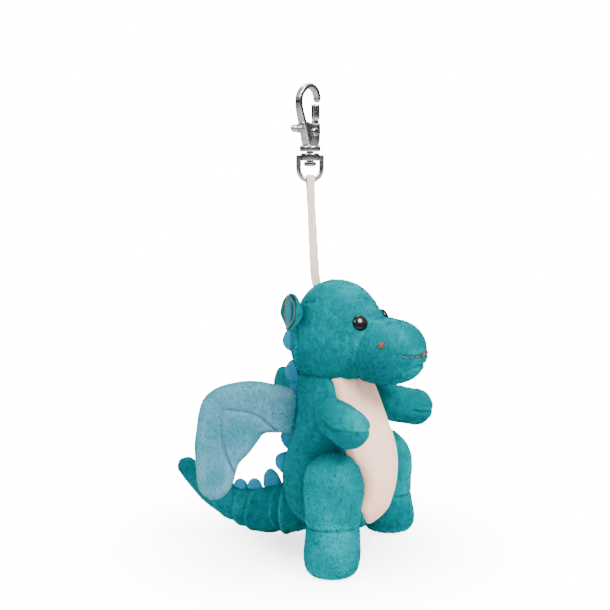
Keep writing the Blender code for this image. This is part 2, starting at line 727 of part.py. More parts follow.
def make_spines():
    """Padded scallops down the mid-line: two behind the head, four on the back and four on the tail."""
    number = 1
    for height in (73.5, 64.5):
        spot, facing = on_head(np.array((0, 30.0, height)))
        if height < 70:
            spot, facing = np.array((0, 25.2, 64.3)), unit((0, 1.0, -0.25))
        solid(f"spine_{number:02d}", spine_blank(spot + facing * 0.7, facing, 4.4, 5.4), BLUE_FELT)
        number += 1
    rings = smooth(TORSO_RINGS, 4)
    for height in (54.5, 45.8, 36.9, 28.0):
        _, middle, half = rings[np.argmin(abs(rings[:, 0] - height))]
        low, high = (rings[np.argmin(abs(rings[:, 0] - height - step))] for step in (-3, 3))
        facing = unit((0, high[0] - low[0], low[1] + low[2] - high[1] - high[2]))
        spot = np.array((0, middle + half, height))
        solid(f"spine_{number:02d}", spine_blank(spot + facing * 0.7, facing, 4.2, 5.0), BLUE_FELT)
        number += 1
    line = smooth(TAIL_LINE, 4)
    for behind, high, half_base in ((34.4, 5.4, 3.7), (43.4, 3.0, 3.2), (51.4, 2.6, 2.8), (58.2, 2.3, 2.6)):
        i = int(np.argmin(abs(line[:, 0] - behind)))
        way = unit((0, *(line[i + 1] - line[i - 1])[:2]))
        facing = np.cross(X, way)
        spot = np.array((0, *line[i, :2])) + facing * (line[i, 2] + 0.95)
        solid(f"spine_{number:02d}", spine_blank(spot, facing, half_base, high), BLUE_FELT, TAIL_ROOT)
        number += 1


clear_scene()
PLUSH = finish("turquoise plush", (0.01, 0.31, 0.34), 0.9)
LIGHT_PLUSH = finish("light blue plush", (0.22, 0.45, 0.58), 0.9)
BLUE_FELT = finish("blue scallop plush", (0.09, 0.38, 0.62), 0.9)
BELLY = finish("belly cloth", (0.83, 0.64, 0.56), 0.85)
WADDING = finish("polyester wadding", (0.85, 0.85, 0.84), 0.95)
EYE_BLACK = finish("black moulded eye", (0.005, 0.005, 0.006), 0.12)
NYLON = finish("nylon washer", (0.75, 0.75, 0.72), 0.5)
THREAD = finish("brown thread", (0.42, 0.17, 0.06), 0.7)
COTTON = finish("cream cotton tape", (0.79, 0.69, 0.56), 0.9)
NICKEL = finish("nickel plate", (0.78, 0.78, 0.79), 0.14, 1.0)
STEEL = finish("plated steel pin", (0.62, 0.62, 0.63), 0.22, 1.0)
make_hook()
make_gate()
make_snap_pins()
make_gate_spring()
make_stirrup()
make_tape()
make_head()
make_ears()
make_torso()
make_legs()
make_arms()
make_tail()
make_wings()
make_spines()
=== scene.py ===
"""The looks of a plush dragon key charm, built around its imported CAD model.

Frame: metres, +Z up, the dragon faces -Y, and the origin is the inside top of the snap's hook. Shapes are
worked out in millimetres from the floor under the soles and from the dragon's mid-plane; place() turns them
into the frame.
"""

import json
import math

import bmesh
import bpy
import numpy as np
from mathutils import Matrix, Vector

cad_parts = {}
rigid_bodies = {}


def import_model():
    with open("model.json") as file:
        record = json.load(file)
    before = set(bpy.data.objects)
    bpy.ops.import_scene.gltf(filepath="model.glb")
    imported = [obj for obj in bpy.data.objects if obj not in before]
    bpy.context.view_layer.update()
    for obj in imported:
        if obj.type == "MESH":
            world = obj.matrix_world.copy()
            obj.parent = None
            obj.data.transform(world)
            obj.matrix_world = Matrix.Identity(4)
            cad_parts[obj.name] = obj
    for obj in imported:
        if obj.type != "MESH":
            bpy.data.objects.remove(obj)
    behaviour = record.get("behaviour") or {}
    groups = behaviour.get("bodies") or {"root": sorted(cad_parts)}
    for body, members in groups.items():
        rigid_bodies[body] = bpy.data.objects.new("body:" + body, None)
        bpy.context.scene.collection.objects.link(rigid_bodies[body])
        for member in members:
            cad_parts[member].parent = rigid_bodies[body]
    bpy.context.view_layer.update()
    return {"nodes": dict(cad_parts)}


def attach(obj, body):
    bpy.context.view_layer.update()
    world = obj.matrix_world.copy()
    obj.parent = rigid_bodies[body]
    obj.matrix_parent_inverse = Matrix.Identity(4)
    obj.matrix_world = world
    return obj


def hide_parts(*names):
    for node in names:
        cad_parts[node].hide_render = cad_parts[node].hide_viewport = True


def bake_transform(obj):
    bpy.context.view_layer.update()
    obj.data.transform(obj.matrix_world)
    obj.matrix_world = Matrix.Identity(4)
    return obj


for thing in list(bpy.data.objects):
    bpy.data.objects.remove(thing, do_unlink=True)
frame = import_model()
nodes = frame["nodes"]

# Camera. A long lens looks a little down on the dragon's right front, so the snap, the face, one wing and
# the tail all show.
X, Y, Z = np.eye(3)
HANG = np.array((0.0, 20.7, 162.2))  # the hook's inside top, in the making's own millimetres


def place(points):
    """Making millimetres to frame metres."""
    return (np.asarray(points, float) - HANG) * 0.001


def unit(vectors):
    vectors = np.asarray(vectors, float)
    return vectors / np.maximum(np.linalg.norm(vectors, axis=-1, keepdims=True), 1e-12)


def compass(azimuth, elevation):
    """The way to a point seen from the dragon's middle. Azimuth 0 is in front of it."""
    a, e = math.radians(azimuth), math.radians(elevation)
    return np.array((math.sin(a) * math.cos(e), -math.cos(a) * math.cos(e), math.sin(e)))


VIEW_TARGET, VIEW_DISTANCE = np.array((0.0, 22.7, 86.5)), 450.0
away = compass(-62, 7.5)
lens = bpy.data.cameras.new("camera")
lens.lens, lens.sensor_width = 74.8, 36.0
lens.clip_start, lens.clip_end = 0.01, 20.0
camera = bpy.data.objects.new("camera", lens)
camera.location = place(VIEW_TARGET + away * VIEW_DISTANCE)
camera.rotation_euler = Vector(-away).to_track_quat("-Z", "Y").to_euler()
bpy.context.scene.collection.objects.link(camera)
bpy.context.scene.camera = camera


# Cotton tape. One length of flat woven cotton, 2.8 mm wide: up from the crown seam, over the stirrup's bar
# and back down beside itself, both ends sewn into the head.
TAPE_WIDTH, TAPE_THICK = 2.8, 0.55
BAR_HEIGHT, BAR_RADIUS = 130.55, 0.9
SNAP_AXIS = HANG * (1, 1, 0)


def turned_frame(angle):
    """Across and out to the front of an upright plane through the snap's axis, at this angle from +X."""
    across = np.array((math.cos(angle), math.sin(angle), 0.0))
    return across, np.cross(across, Z)


def smooth(rows, steps):
    """Rows joined by a Catmull-Rom curve, with this many steps between rows."""
    rows = np.asarray(rows, float)
    rows = np.vstack([2 * rows[:1] - rows[1:2], rows, 2 * rows[-1:] - rows[-2:-1]])
    t = (np.arange(steps) / steps)[:, None]
    a, b, c, d = (rows[i : len(rows) - 3 + i, None] for i in range(4))
    curve = b + 0.5 * t * (c - a + t * (2 * a - 5 * b + 4 * c - d + t * (3 * (b - c) + d - a)))
    return np.vstack([curve.reshape(-1, rows.shape[1]), rows[-2]])


def evened(line, step):
    """The line with points this far apart."""
    line = np.asarray(line, float)
    run = np.concatenate([[0], np.cumsum(np.linalg.norm(np.diff(line[:, :3], axis=0), axis=1))])
    even = np.linspace(0, run[-1], max(int(round(run[-1] / step)), 2) + 1)
    return np.column_stack([np.interp(even, run, column) for column in line.T])


def skin(grid, wrap, closed_rows):
    """Quads over a grid of points (rows, columns, 3); wrap joins the last column to the first."""
    rows, columns = grid.shape[:2]
    i = np.arange(rows if closed_rows else rows - 1)[:, None]
    j = np.arange(columns if wrap else columns - 1)[None, :]
    i2, j2 = (i + 1) % rows, (j + 1) % columns
    corners = (i * columns + j, i * columns + j2, i2 * columns + j2, i2 * columns + j)
    return np.stack(np.broadcast_arrays(*corners), -1).reshape(-1, 4)


def set_value(made, name, values):
    """One number for each vertex, which the finish reads by name. Cap middles, which come last, get 0."""
    layer = made.data.attributes.get(name) or made.data.attributes.new(name, "FLOAT", "POINT")
    values = np.ravel(values)
    values = np.append(values, np.zeros(len(made.data.vertices) - len(values)))
    layer.data.foreach_set("value", values.astype(np.float32))


def grid_object(
    name, grids, material, wrap=True, caps=(True, True), closed_rows=False, light=None, sharp=False
):
    """One object from one or more grids of points in making millimetres. A cap closes a wrapped grid's first
    or last row with a fan round its middle; light is a number for each point of a single grid."""
    grids = [grids] if isinstance(grids, np.ndarray) else list(grids)
    points, faces, base = [], [], 0
    for grid in grids:
        rows, columns = grid.shape[:2]
        faces += (skin(grid, wrap, closed_rows) + base).tolist()
        points.append(grid.reshape(-1, 3))
        middle = base + rows * columns
        for cap, start, row in ((caps[0], base, grid[0]), (caps[1], middle - columns, grid[-1])):
            if cap and wrap and not closed_rows:
                points.append(row.mean(0)[None])
                faces += [[start + j, start + (j + 1) % columns, middle] for j in range(columns)]
                middle += 1
        base = middle
    mesh = bpy.data.meshes.new(name)
    mesh.from_pydata(place(np.vstack(points)).tolist(), [], faces)
    if wrap:
        build = bmesh.new()
        build.from_mesh(mesh)
        bmesh.ops.recalc_face_normals(build, faces=build.faces)
        build.to_mesh(mesh)
        build.free()
    mesh.polygons.foreach_set("use_smooth", np.ones(len(mesh.polygons), bool))
    if sharp:
        mesh.set_sharp_from_angle(angle=math.radians(40))
    mesh.materials.append(material)
    made = bpy.data.objects.new(name, mesh)
    bpy.context.scene.collection.objects.link(made)
    if light is not None:
        set_value(made, "light", np.clip(light, 0, 1))
    return made


class Wiring:
    """Short ways to add nodes to a tree and to join them."""

    def __init__(self, tree):
        self.tree = tree

    def node(self, kind, values=(), **settings):
        made = self.tree.nodes.new(kind)
        for setting, value in settings.items():
            setattr(made, setting, value)
        for socket, value in dict(values).items():
            self.join(made.inputs[socket], value)
        return made

    def join(self, socket, value):
        if isinstance(value, bpy.types.NodeSocket):
            self.tree.links.new(value, socket)
        elif isinstance(value, tuple) and socket.type == "RGBA":
            socket.default_value = (*value, 1.0)
        else:
            socket.default_value = value

    def noise(self, vector, scale, detail=2.0, stretch=None):
        if stretch:
            vector = self.node("ShaderNodeMapping", {"Vector": vector, "Scale": stretch}).outputs["Vector"]
        values = {"Vector": vector, "Scale": scale, "Detail": detail}
        return self.node("ShaderNodeTexNoise", values).outputs["Fac"]

    def span(self, value, low, high, to_low=0.0, to_high=1.0):
        spans = {"Value": value, "From Min": low, "From Max": high, "To Min": to_low, "To Max": to_high}
        return self.node("ShaderNodeMapRange", spans).outputs["Result"]

    def math(self, kind, a, b=0.0):
        return self.node("ShaderNodeMath", {0: a, 1: b}, operation=kind).outputs["Value"]

    def times(self, a, b):
        return self.math("MULTIPLY", a, b)

    def plus(self, a, b):
        return self.math("ADD", a, b)

    def mix(self, share, a, b):
        return self.node("ShaderNodeMix", {0: share, 6: a, 7: b}, data_type="RGBA").outputs[2]


class Effect(Wiring):
    """A node group under construction. given holds what it is handed, and result what it gives."""

    def __init__(self, name, inputs, outputs):
        super().__init__(bpy.data.node_groups.new(name, "ShaderNodeTree"))
        for way, sockets in (("INPUT", inputs), ("OUTPUT", outputs)):
            for socket, kind in sockets.items():
                self.tree.interface.new_socket(socket, in_out=way, socket_type="NodeSocket" + kind)
        self.given = self.tree.nodes.new("NodeGroupInput").outputs
        self.result = self.tree.nodes.new("NodeGroupOutput").inputs


class Finish(Wiring):
    """A material under construction, with its shader's plain values given at once."""

    def __init__(self, name, roughness=0.9, **plain):
        self.material = bpy.data.materials.new(name)
        self.material.use_nodes = True
        super().__init__(self.material.node_tree)
        self.shader = self.tree.nodes["Principled BSDF"]
        for socket, value in plain.items():
            self.shader.inputs[socket.replace("_", " ")].default_value = value
        self.shader.inputs["Roughness"].default_value = roughness
        where = self.tree.nodes.new("ShaderNodeTexCoord")
        self.where, self.uv = where.outputs["Object"], where.outputs["UV"]

    def drive(self, **sockets):
        for socket, value in sockets.items():
            self.tree.links.new(value, self.shader.inputs[socket.replace("_", " ")])

    def attribute(self, name):
        return self.node("ShaderNodeAttribute", attribute_name=name).outputs["Fac"]

    def effect(self, effect, **values):
        made = self.tree.nodes.new("ShaderNodeGroup")
        made.node_tree = effect.tree
        self.join(made.inputs["Where"], self.where)
        for socket, value in values.items():
            self.join(made.inputs[socket], value)
        return made.outputs

    def bump(self, height, distance, strength=1.0):
        made = self.node("ShaderNodeBump", {"Height": height, "Distance": distance, "Strength": strength})
        self.drive(Normal=made.outputs["Normal"])


def tape_finish():
    """Plain weave in cream cotton, worked out along the tape: warp ribs crossed by picks, with tea-coloured
    shade where it has been handled."""
    made = Finish("cream cotton tape", 0.92, Sheen_Weight=0.2)
    split = made.node("ShaderNodeSeparateXYZ", {"Vector": made.uv})
    warp = made.math("SINE", made.times(split.outputs["X"], 2 * math.pi / 0.42))
    pick = made.math("SINE", made.times(split.outputs["Y"], 2 * math.pi / 0.55))
    weave = made.plus(made.times(warp, pick), made.times(made.noise(made.where, 2500.0), 0.9))
    handled = made.times(made.span(made.noise(made.where, 220.0), 0.35, 0.65), 0.35)
    threads = made.mix(made.span(weave, -0.8, 1.2), (0.64, 0.48, 0.36), (1.0, 0.87, 0.73))
    made.drive(Base_Color=made.mix(handled, threads, (0.90, 0.68, 0.52)))
    made.bump(weave, 0.00012, 0.8)
    return made.material


tape_across, tape_front = turned_frame(math.radians(-55))
over = BAR_RADIUS + 1.0
side_run = ((0.85, 91.9, 17.6), (0.95, 95.0, 18.5), (0.85, 104.0, 19.2), (0.85, 114.0, 19.8),
    (1.1, 122.0, 20.3), (1.7, 127.8, 20.6))
bend = [(over * math.cos(t), BAR_HEIGHT + over * math.sin(t), 20.7) for t in np.linspace(0, math.pi, 7)]
run = np.array([*side_run, *bend, *[(-c, high, y) for c, high, y in side_run[::-1]]])
run = evened(smooth(run, 6), 0.8)
# The far run lies a little to one side of the near one.
shift = 0.35 * np.sin(np.linspace(-1.2, 1.6, len(run)))
# And both turn towards the face where they go in.
shift += 0.9 * np.clip((97.0 - run[:, 1]) / 5.0, 0, 1) ** 2
tape_line = SNAP_AXIS * (1, 0, 0) + np.outer(run[:, 0], tape_front) + np.outer(shift, tape_across)
tape_line[:, 1] += run[:, 2]
tape_line[:, 2] = run[:, 1]
flat = unit(np.cross(unit(np.gradient(tape_line, axis=0)), tape_across))
turn = 2 * np.pi * np.arange(16) / 16
edge = np.sign(np.cos(turn)) * np.abs(np.cos(turn)) ** 0.55
lift = np.sign(np.sin(turn)) * np.abs(np.sin(turn)) ** 0.8
wander = 1 + 0.04 * np.sin(np.arange(len(run)) * 0.9)
tape_grid = (
    tape_line[:, None] + (edge[None, :, None] * (wander * TAPE_WIDTH / 2)[:, None, None]) * tape_across
)
tape_grid = tape_grid + lift[None, :, None] * TAPE_THICK / 2 * flat[:, None]
run_length = np.concatenate([[0], np.cumsum(np.linalg.norm(np.diff(tape_line, axis=0), axis=1))])


def add_uv(made, across, down):
    """Cloth coordinates in millimetres: a value for each vertex across and down."""
    layer = made.data.uv_layers.new(name="cloth")
    index = np.empty(len(made.data.loops), np.int32)
    made.data.loops.foreach_get("vertex_index", index)
    layer.data.foreach_set("uv", np.column_stack([across, down])[index].astype(np.float32).ravel())


tape = grid_object("tape", tape_grid, tape_finish())
tape_over = np.append(np.tile(edge * TAPE_WIDTH / 2, len(run)), (0, 0))
add_uv(tape, tape_over, np.append(np.repeat(run_length, 16), (0, run_length[-1])))
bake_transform(tape)
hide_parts("strap_loop")


# Snap. A die-cast trigger snap, barrelled and nickel plated: a flat-sided hook with a forked root, a sprung
# gate on a steel rivet, and a stirrup that swivels on a peened rivet under the flange.
SNAP_ACROSS, SNAP_FRONT = turned_frame(math.radians(-17))
GATE_PIVOT = (0.7, 147.4)


def snap_place(a, b, c):
    """Across the hook's plane, height, and out of the plane towards the front."""
    a, b, c = (np.asarray(part, float)[..., None] for part in (a, b, c))
    return SNAP_AXIS + a * SNAP_ACROSS + b * Z + c * SNAP_FRONT


def revolve(start, axis, profile, around=40):
    """A turned shape: rows of (distance along the axis, radius)."""
    axis = unit(axis)
    side = unit(np.cross(axis, Z if abs(axis[2]) < 0.9 else X))
    up = np.cross(axis, side)
    a = 2 * np.pi * np.arange(around) / around
    rim = np.cos(a)[:, None] * side + np.sin(a)[:, None] * up
    profile = np.asarray(profile, float)
    return start + profile[:, :1, None] * axis + profile[:, 1:, None] * rim


def rounded(profile, corner, steps=5):
    """The profile with each corner cut back this far and bent round as a quarter of a curve."""
    profile = np.asarray(profile, float)
    out = [profile[:1]]
    for a, b, c in zip(profile, profile[1:], profile[2:]):
        before, after = (min(corner, np.linalg.norm(b - end) * 0.45) for end in (a, c))
        start, stop = b + unit(a - b) * before, b + unit(c - b) * after
        t = np.linspace(0, 1, steps)[:, None]
        out.append(start * (1 - t) ** 2 + 2 * b * t * (1 - t) + stop * t**2)
    return np.vstack([*out, profile[-1:]])


def slab(outline, low, high, corner=0.3):
    """A plate with a closed outline in the hook's plane. Its edges are quarter rounds: level and inset both
    follow a circle of the corner's radius."""
    outline = evened(smooth(np.vstack([outline, outline[:1]]), 6), 0.22)[:-1]
    ways = unit(np.roll(outline, -1, axis=0) - np.roll(outline, 1, axis=0))
    inward = np.column_stack([-ways[:, 1], ways[:, 0]])
    area = (outline[:, 0] * np.roll(outline[:, 1], -1) - outline[:, 1] * np.roll(outline[:, 0], -1)).sum()
    inward *= np.sign(area)
    t = np.linspace(np.pi / 2, 0, 5)  # from the flat face round to the edge
    level, inset = corner * (1 - np.sin(t)), corner * (1 - np.cos(t))
    levels = np.concatenate([low + level, (high - level)[::-1]])
    insets = np.concatenate([inset, inset[::-1]])
    rows = outline[None] + inward[None] * insets[:, None, None]
    return snap_place(rows[..., 0], rows[..., 1], np.broadcast_to(levels[:, None], rows.shape[:2]))


def worn_plating():
    """Barrelled plating: broad dull clouds, fine wavy tool marks that only roughen it, and duller pits."""
    made = Effect(
        "barrelled plating",
        {"Where": "Vector", "Bright": "Color", "Dull": "Color", "Polish": "Float"},
        {"Colour": "Color", "Roughness": "Float", "Height": "Float"},
    )
    where = made.given["Where"]
    cloud = made.span(made.noise(where, 260.0, 3.0), 0.38, 0.66)
    pits = made.span(made.noise(where, 2600.0, 2.0), 0.60, 0.74)
    colour = made.mix(made.times(cloud, 0.45), made.given["Bright"], made.given["Dull"])
    made.join(made.result["Colour"], made.mix(made.times(pits, 0.5), colour, made.given["Dull"]))
    rough = made.plus(made.given["Polish"], made.times(cloud, 0.10))
    made.join(made.result["Roughness"], made.plus(rough, made.times(pits, 0.15)))
    made.join(made.result["Height"], made.math("SUBTRACT", made.noise(where, 420.0), pits))
    return made


PLATING = worn_plating()


def metal_finish(name, bright, dull, polish):
    made = Finish(name, polish, Metallic=1.0)
    plating = made.effect(PLATING, Bright=bright, Dull=dull, Polish=polish)
    made.drive(Base_Color=plating["Colour"], Roughness=plating["Roughness"])
    made.bump(plating["Height"], 0.00004, 0.35)
    return made.material


def dress(made, body, slot, *covers, fill=None):
    """Puts a finished piece on the body it rides on and hides the CAD nodes it stands for. The slot and how
    full it is are not used.
    """
    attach(made, body)
    if covers:
        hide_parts(*covers)


NICKEL = metal_finish("bright nickel", (0.70, 0.69, 0.68), (0.42, 0.41, 0.41), 0.07)
PIN_STEEL = metal_finish("plated pin steel", (0.62, 0.61, 0.60), (0.34, 0.33, 0.33), 0.12)


def fit_metal(name, grids, body, slot, *covers, closed_rows=False):
    """A hard-edged piece of the snap. Its slot also chooses the metal."""
    metal = PIN_STEEL if slot == "pin_steel" else NICKEL
    dress(grid_object(name, grids, metal, closed_rows=closed_rows, sharp=True), body, slot, *covers)


def strand(line, radius, around=8, up=Z):
    """A round wire or thread along a line; radius may be a number for each point."""
    line = np.asarray(line, float)
    way = unit(np.gradient(line, axis=0))
    side = unit(np.cross(way, up))
    over = np.cross(side, way)
    a = 2 * np.pi * np.arange(around) / around
    radius = np.broadcast_to(np.asarray(radius, float), (len(line),))[:, None, None]
    return (
        line[:, None] + radius * (np.cos(a)[:, None] * side[:, None] + np.sin(a)[:, None] * over[:, None])
    )


hook_line = evened(smooth((
    (-1.5, 143.4, 1.1, 1.75), (-2.6, 147.0, 1.0, 1.75), (-4.0, 151.5, 0.85, 1.6), (-5.3, 156.0, 0.8, 1.4),
    (-5.1, 159.8, 0.85, 1.3),
    (-3.1, 162.3, 0.95, 1.3), (-0.5, 163.2, 1.0, 1.3), (2.0, 162.1, 1.0, 1.25), (3.3, 159.9, 1.0, 1.2),
    (3.5, 157.5, 0.95, 1.1),
), 12), 0.2)  # across, height, half thickness, half width
way = unit(np.gradient(hook_line[:, :2], axis=0))
turn = 2 * np.pi * np.arange(36) / 36
# A rounded oblong.
squared = [np.sign(wave) * np.abs(wave) ** 0.45 for wave in (np.cos(turn), np.sin(turn))]
from_tip = np.clip((np.arange(len(hook_line)) - len(hook_line) + 6) / 5, 0, 1)
tip_in = np.sqrt(np.clip(1 - from_tip**2, 0.02, 1))[:, None]
thick, wide = (hook_line[:, k : k + 1] * wave * tip_in for k, wave in zip((2, 3), squared))
hook_bar = snap_place(hook_line[:, :1] - way[:, 1:] * thick, hook_line[:, 1:2] + way[:, :1] * thick, wide)
root = np.array(((-2.2, 142.3), (2.3, 142.3), (3.2, 144.4), (3.3, 145.2), (-3.0, 145.2), (-2.8, 144.2)))
cheek = np.array(((-2.2, 142.4), (2.3, 142.4), (3.4, 146.5), (3.4, 149.9), (2.6, 150.6), (1.2, 149.9),
    (-1.6, 150.6), (-3.4, 151.0), (-3.6, 149.0)))
flange = ((140.6, 0.9), (140.6, 3.65), (142.5, 3.65), (143.1, 2.3), (143.1, 0.4))
hook = [hook_bar, slab(root, -1.7, 1.7), slab(cheek, 0.95, 1.75), slab(cheek, -1.75, -0.95)]
hook.append(revolve(SNAP_AXIS, Z, rounded(flange, 0.45), 64))
fit_metal("snap_hook", hook, "hook", "nickel", "hook_body")
a, b = GATE_PIVOT
bar = rounded(((-0.3, 0.1), (-0.3, 1.0), (0.6, 1.5), (5.0, 1.5), (5.5, 1.2), (5.5, 0.1)), 0.35)
knob = [(0, 0.3), (0, 1.3), (0.2, 1.6), (1.1, 1.6), (1.3, 0.8), (2.0, 0.8)]
knob += [(3.0 - 1.15 * math.cos(t), 1.4 * math.sin(t)) for t in np.linspace(0.55, 3.13, 14)]
stem = np.array(((a - 0.6, b), (a + 1.7, b), (3.6, 150.0), (3.6, 152.4), (1.8, 152.4), (0.9, 149.6)))
arm = np.array(((a, b + 1.5), (-5.0, 149.3), (-5.0, 147.9), (a, b - 0.9)))
disc = revolve(snap_place(a, b, -0.65), SNAP_FRONT,
    rounded(((0, 0.1), (0, 1.9), (1.3, 1.9), (1.3, 0.1)), 0.25))
gate = [slab(stem, -0.65, 0.65, 0.2), slab(arm, -0.65, 0.65, 0.2), disc,
    revolve(snap_place(2.7, 151.5, 0), Z, bar)]
gate.append(revolve(snap_place(-4.7, 148.6, 0), -SNAP_ACROSS, knob, 48))
fit_metal("snap_gate", gate, "gate", "nickel", "gate_lever")
head_half = ((2.05, 0.7), (2.05, 1.5), (2.3, 1.45), (2.5, 1.05), (2.55, 0.2))
rivet = np.array([(-c, r) for c, r in head_half[::-1]] + list(head_half))
rivet = revolve(snap_place(a, b, 0), SNAP_FRONT, rounded(rivet, 0.2))
fit_metal("gate_pin", rivet, "hook", "pin_steel", "gate_rivet")
shank = rounded(((135.4, 0.1), (135.4, 1.5), (135.8, 2.15), (137.0, 2.15), (137.1, 1.2), (142.0, 1.2),
    (142.0, 0.1)), 0.25)
fit_metal("swivel_pin", revolve(SNAP_AXIS, Z, shank), "hook", "nickel", "swivel_rivet")
coil = np.linspace(0, 2 * np.pi * 3, 120)
coil = snap_place(-1.2 + 0.5 * np.cos(coil), 145.2 + coil / (11 * np.pi), 0.5 * np.sin(coil))
fit_metal("gate_coil", strand(coil, 0.14, 8), "hook", "pin_steel", "gate_spring")
STIRRUP_HALF, STIRRUP_WIRE, STIRRUP_TOP = 4.05, 0.9, 139.4
arc = np.linspace(np.pi, 2 * np.pi, 40)
u_line = np.column_stack([STIRRUP_HALF * np.cos(arc), BAR_HEIGHT + STIRRUP_HALF * (1 + np.sin(arc))])
u_line = evened(np.vstack([(-STIRRUP_HALF, STIRRUP_TOP), u_line, (STIRRUP_HALF, STIRRUP_TOP)]), 0.25)
u_line = SNAP_AXIS + u_line[:, :1] * tape_across + u_line[:, 1:] * Z
collar = rounded(((137.4, 1.5), (137.4, 3.2), (140.1, 3.2), (140.1, 1.5)), 0.4)
eye = revolve(SNAP_AXIS, Z, collar, 64)
fit_metal("snap_stirrup", strand(u_line, STIRRUP_WIRE, 20, tape_front), "stirrup", "nickel", "stirrup")
fit_metal("snap_eye", eye, "stirrup", "nickel", closed_rows=True)


# Head. Turquoise short-pile plush over polyester wadding: a round skull and a blunt muzzle, joined on a
# cheek seam that runs under the jaw. Further seams part the lower jaw and the back gusset from the cheeks,
# and a small dart takes up the crown before each ear.
def swell(points, size, seed, waves=9):
    """Slow lumps from -1 to 1: the mean of sine waves that run in random ways, about this many mm long."""
    draw = np.random.default_rng(seed)
    ways = unit(draw.normal(size=(waves, 3))) * (2 * np.pi / size) * draw.uniform(0.6, 1.5, (waves, 1))
    return np.clip(np.sin(points @ ways.T + draw.uniform(0, 2 * np.pi, waves)).mean(-1) * 1.8, -1, 1)


def bell(distance, width):
    return np.exp(-((distance / width) ** 2))


def near(points, line, width):
    """A bell of this width round a line of closely set points: 1 on the line, 0 far from it."""
    flat = points.reshape(-1, 3)
    gap = np.full(len(flat), 1e9)
    for spot in np.atleast_2d(line):
        gap = np.minimum(gap, ((flat - spot) ** 2).sum(-1))
    return bell(np.sqrt(gap), width).reshape(points.shape[:-1])


# Each block's middle, its half sizes, and the power that rounds it: 2 is an ellipsoid, more is squarer.
SKULL, MUZZLE = ((0, 9.6, 78.0), (17.3, 15.8, 19.0), 2.0), ((0, -10.3, 72.3), (13.4, 12.5, 11.3), 2.2)
# The width of the blend between them, and more than the skin's distance from the head's core.
HEAD_BLEND, HEAD_MOST = 2.0, 45.0


def head_field(points):
    """Rough distance outside the head: two rounded blocks, blended where they meet."""
    total = 0
    for middle, half, power in (SKULL, MUZZLE):
        reach = (np.abs((points - np.array(middle)) / half) ** power).sum(-1) ** (1 / power)
        total = total + np.exp((1 - reach) * np.mean(half) / HEAD_BLEND)
    return -HEAD_BLEND * np.log(total)


def reach_head(start, ways, value=0.0):
    """How far from the start, along each way, the field takes this value: found by halving."""
    low, high = np.zeros(ways.shape[:-1]), np.full(ways.shape[:-1], HEAD_MOST)
    for _ in range(26):
        middle = (low + high) / 2
        outside = head_field(start + ways * middle[..., None]) > value
        low, high = np.where(outside, low, middle), np.where(outside, middle, high)
    return low


def head_facing(points):
    step = 0.05
    return unit(np.stack([head_field(points + axis * step) - head_field(points - axis * step)
        for axis in (X, Y, Z)], -1))


HEAD_CORE = np.array((0.0, 0.0, 76.0))


def on_head(spots):
    """The skin's points on the rays from the head's core through these spots, and the ways they face."""
    way = unit(np.asarray(spots, float) - HEAD_CORE)
    point = HEAD_CORE + way * reach_head(HEAD_CORE, way)[..., None]
    return point, head_facing(point)


def both(line):
    """The line and its mirror image across the mid-plane."""
    return np.vstack([line, np.asarray(line) * (-1, 1, 1)])


EYE_SPOT, NOSTRIL_SPOT = np.array((9.4, -3.4, 82.9)), np.array((12.8, -13.2, 76.7))
MOUTH_HEIGHT, MOUTH_HALF = 72.2, 9.7
across = np.linspace(-MOUTH_HALF, MOUTH_HALF, 97)
mouth_from = np.column_stack([across, np.full(97, -8.0),
    MOUTH_HEIGHT + 0.5 * np.abs(across / MOUTH_HALF) ** 3])
mouth_line = mouth_from - Y * reach_head(mouth_from, np.tile(-Y, (97, 1)))[:, None]
half_jaw = ((-10.8, -2.7, 62.0), (-10.2, -9.0, 62.8), (-9.4, -13.3, 64.0), (-7.9, -19.9, 66.9),
    (-4.5, -22.4, 68.0))
jaw = on_head(evened(smooth([*half_jaw, (0, -22.8, 68.3), *[(-x, y, z) for x, y, z in half_jaw[::-1]]], 12),
    0.35))[0]
dart = both(on_head(np.linspace((-11.6, 16.9, 89.2), (-13.2, 12.6, 90.2), 14))[0])
gusset = ((-14.6, 19.4, 84.5), (-14.66, 17.9, 79.1), (-15.0, 16.9, 74.8), (-12.6, 18.0, 69.5),
    (-9.0, 17.6, 65.0), (-5.0, 14.0, 61.6))
gusset = both(on_head(evened(smooth(gusset, 12), 0.35))[0])

tilt = np.linspace(0.012, np.pi - 0.012, 230)[:, None]
round_head = (2 * np.pi * np.arange(240) / 240)[None, :]
ways = (np.sin(tilt) * np.cos(round_head), np.cos(tilt) + 0 * round_head, np.sin(tilt) * np.sin(round_head))
ways = np.stack(np.broadcast_arrays(*ways), -1)
head_grid = HEAD_CORE + ways * reach_head(HEAD_CORE, ways)[..., None]
facing = head_facing(head_grid)
cheek = unit((0, 1.0, 0.25))
from_cheek = (head_grid - (0, -6.5, 84.0)) @ cheek
rise = 0.28 * swell(head_grid, 19.0, 3) + 0.10 * swell(head_grid, 7.0, 4)
rise += -0.55 * bell(from_cheek, 0.55) + 0.25 * bell(np.abs(from_cheek) - 2.4, 1.6)
rise -= 0.3 * bell(head_grid[..., 0], 0.45) * (head_grid[..., 1] > 14)
rise += 2.1 * bell(head_grid[..., 2] - 66.0, 7.5) * np.clip((head_grid[..., 1] - 13.5) / 5.0, 0, 1)
rise -= 1.8 * near(head_grid, (0, -2.5, 92.5), 8.0) + 0.5 * bell(head_grid[..., 2] - 97.5, 4.0)
seams = (
    0.65 * near(head_grid, jaw, 0.6) + 0.6 * near(head_grid, dart, 0.5)
    + 0.65 * near(head_grid, gusset, 0.6)
)
rise -= seams + 0.45 * near(head_grid, mouth_line, 0.7) - 0.2 * near(head_grid, mouth_line - Z * 1.9, 1.2)
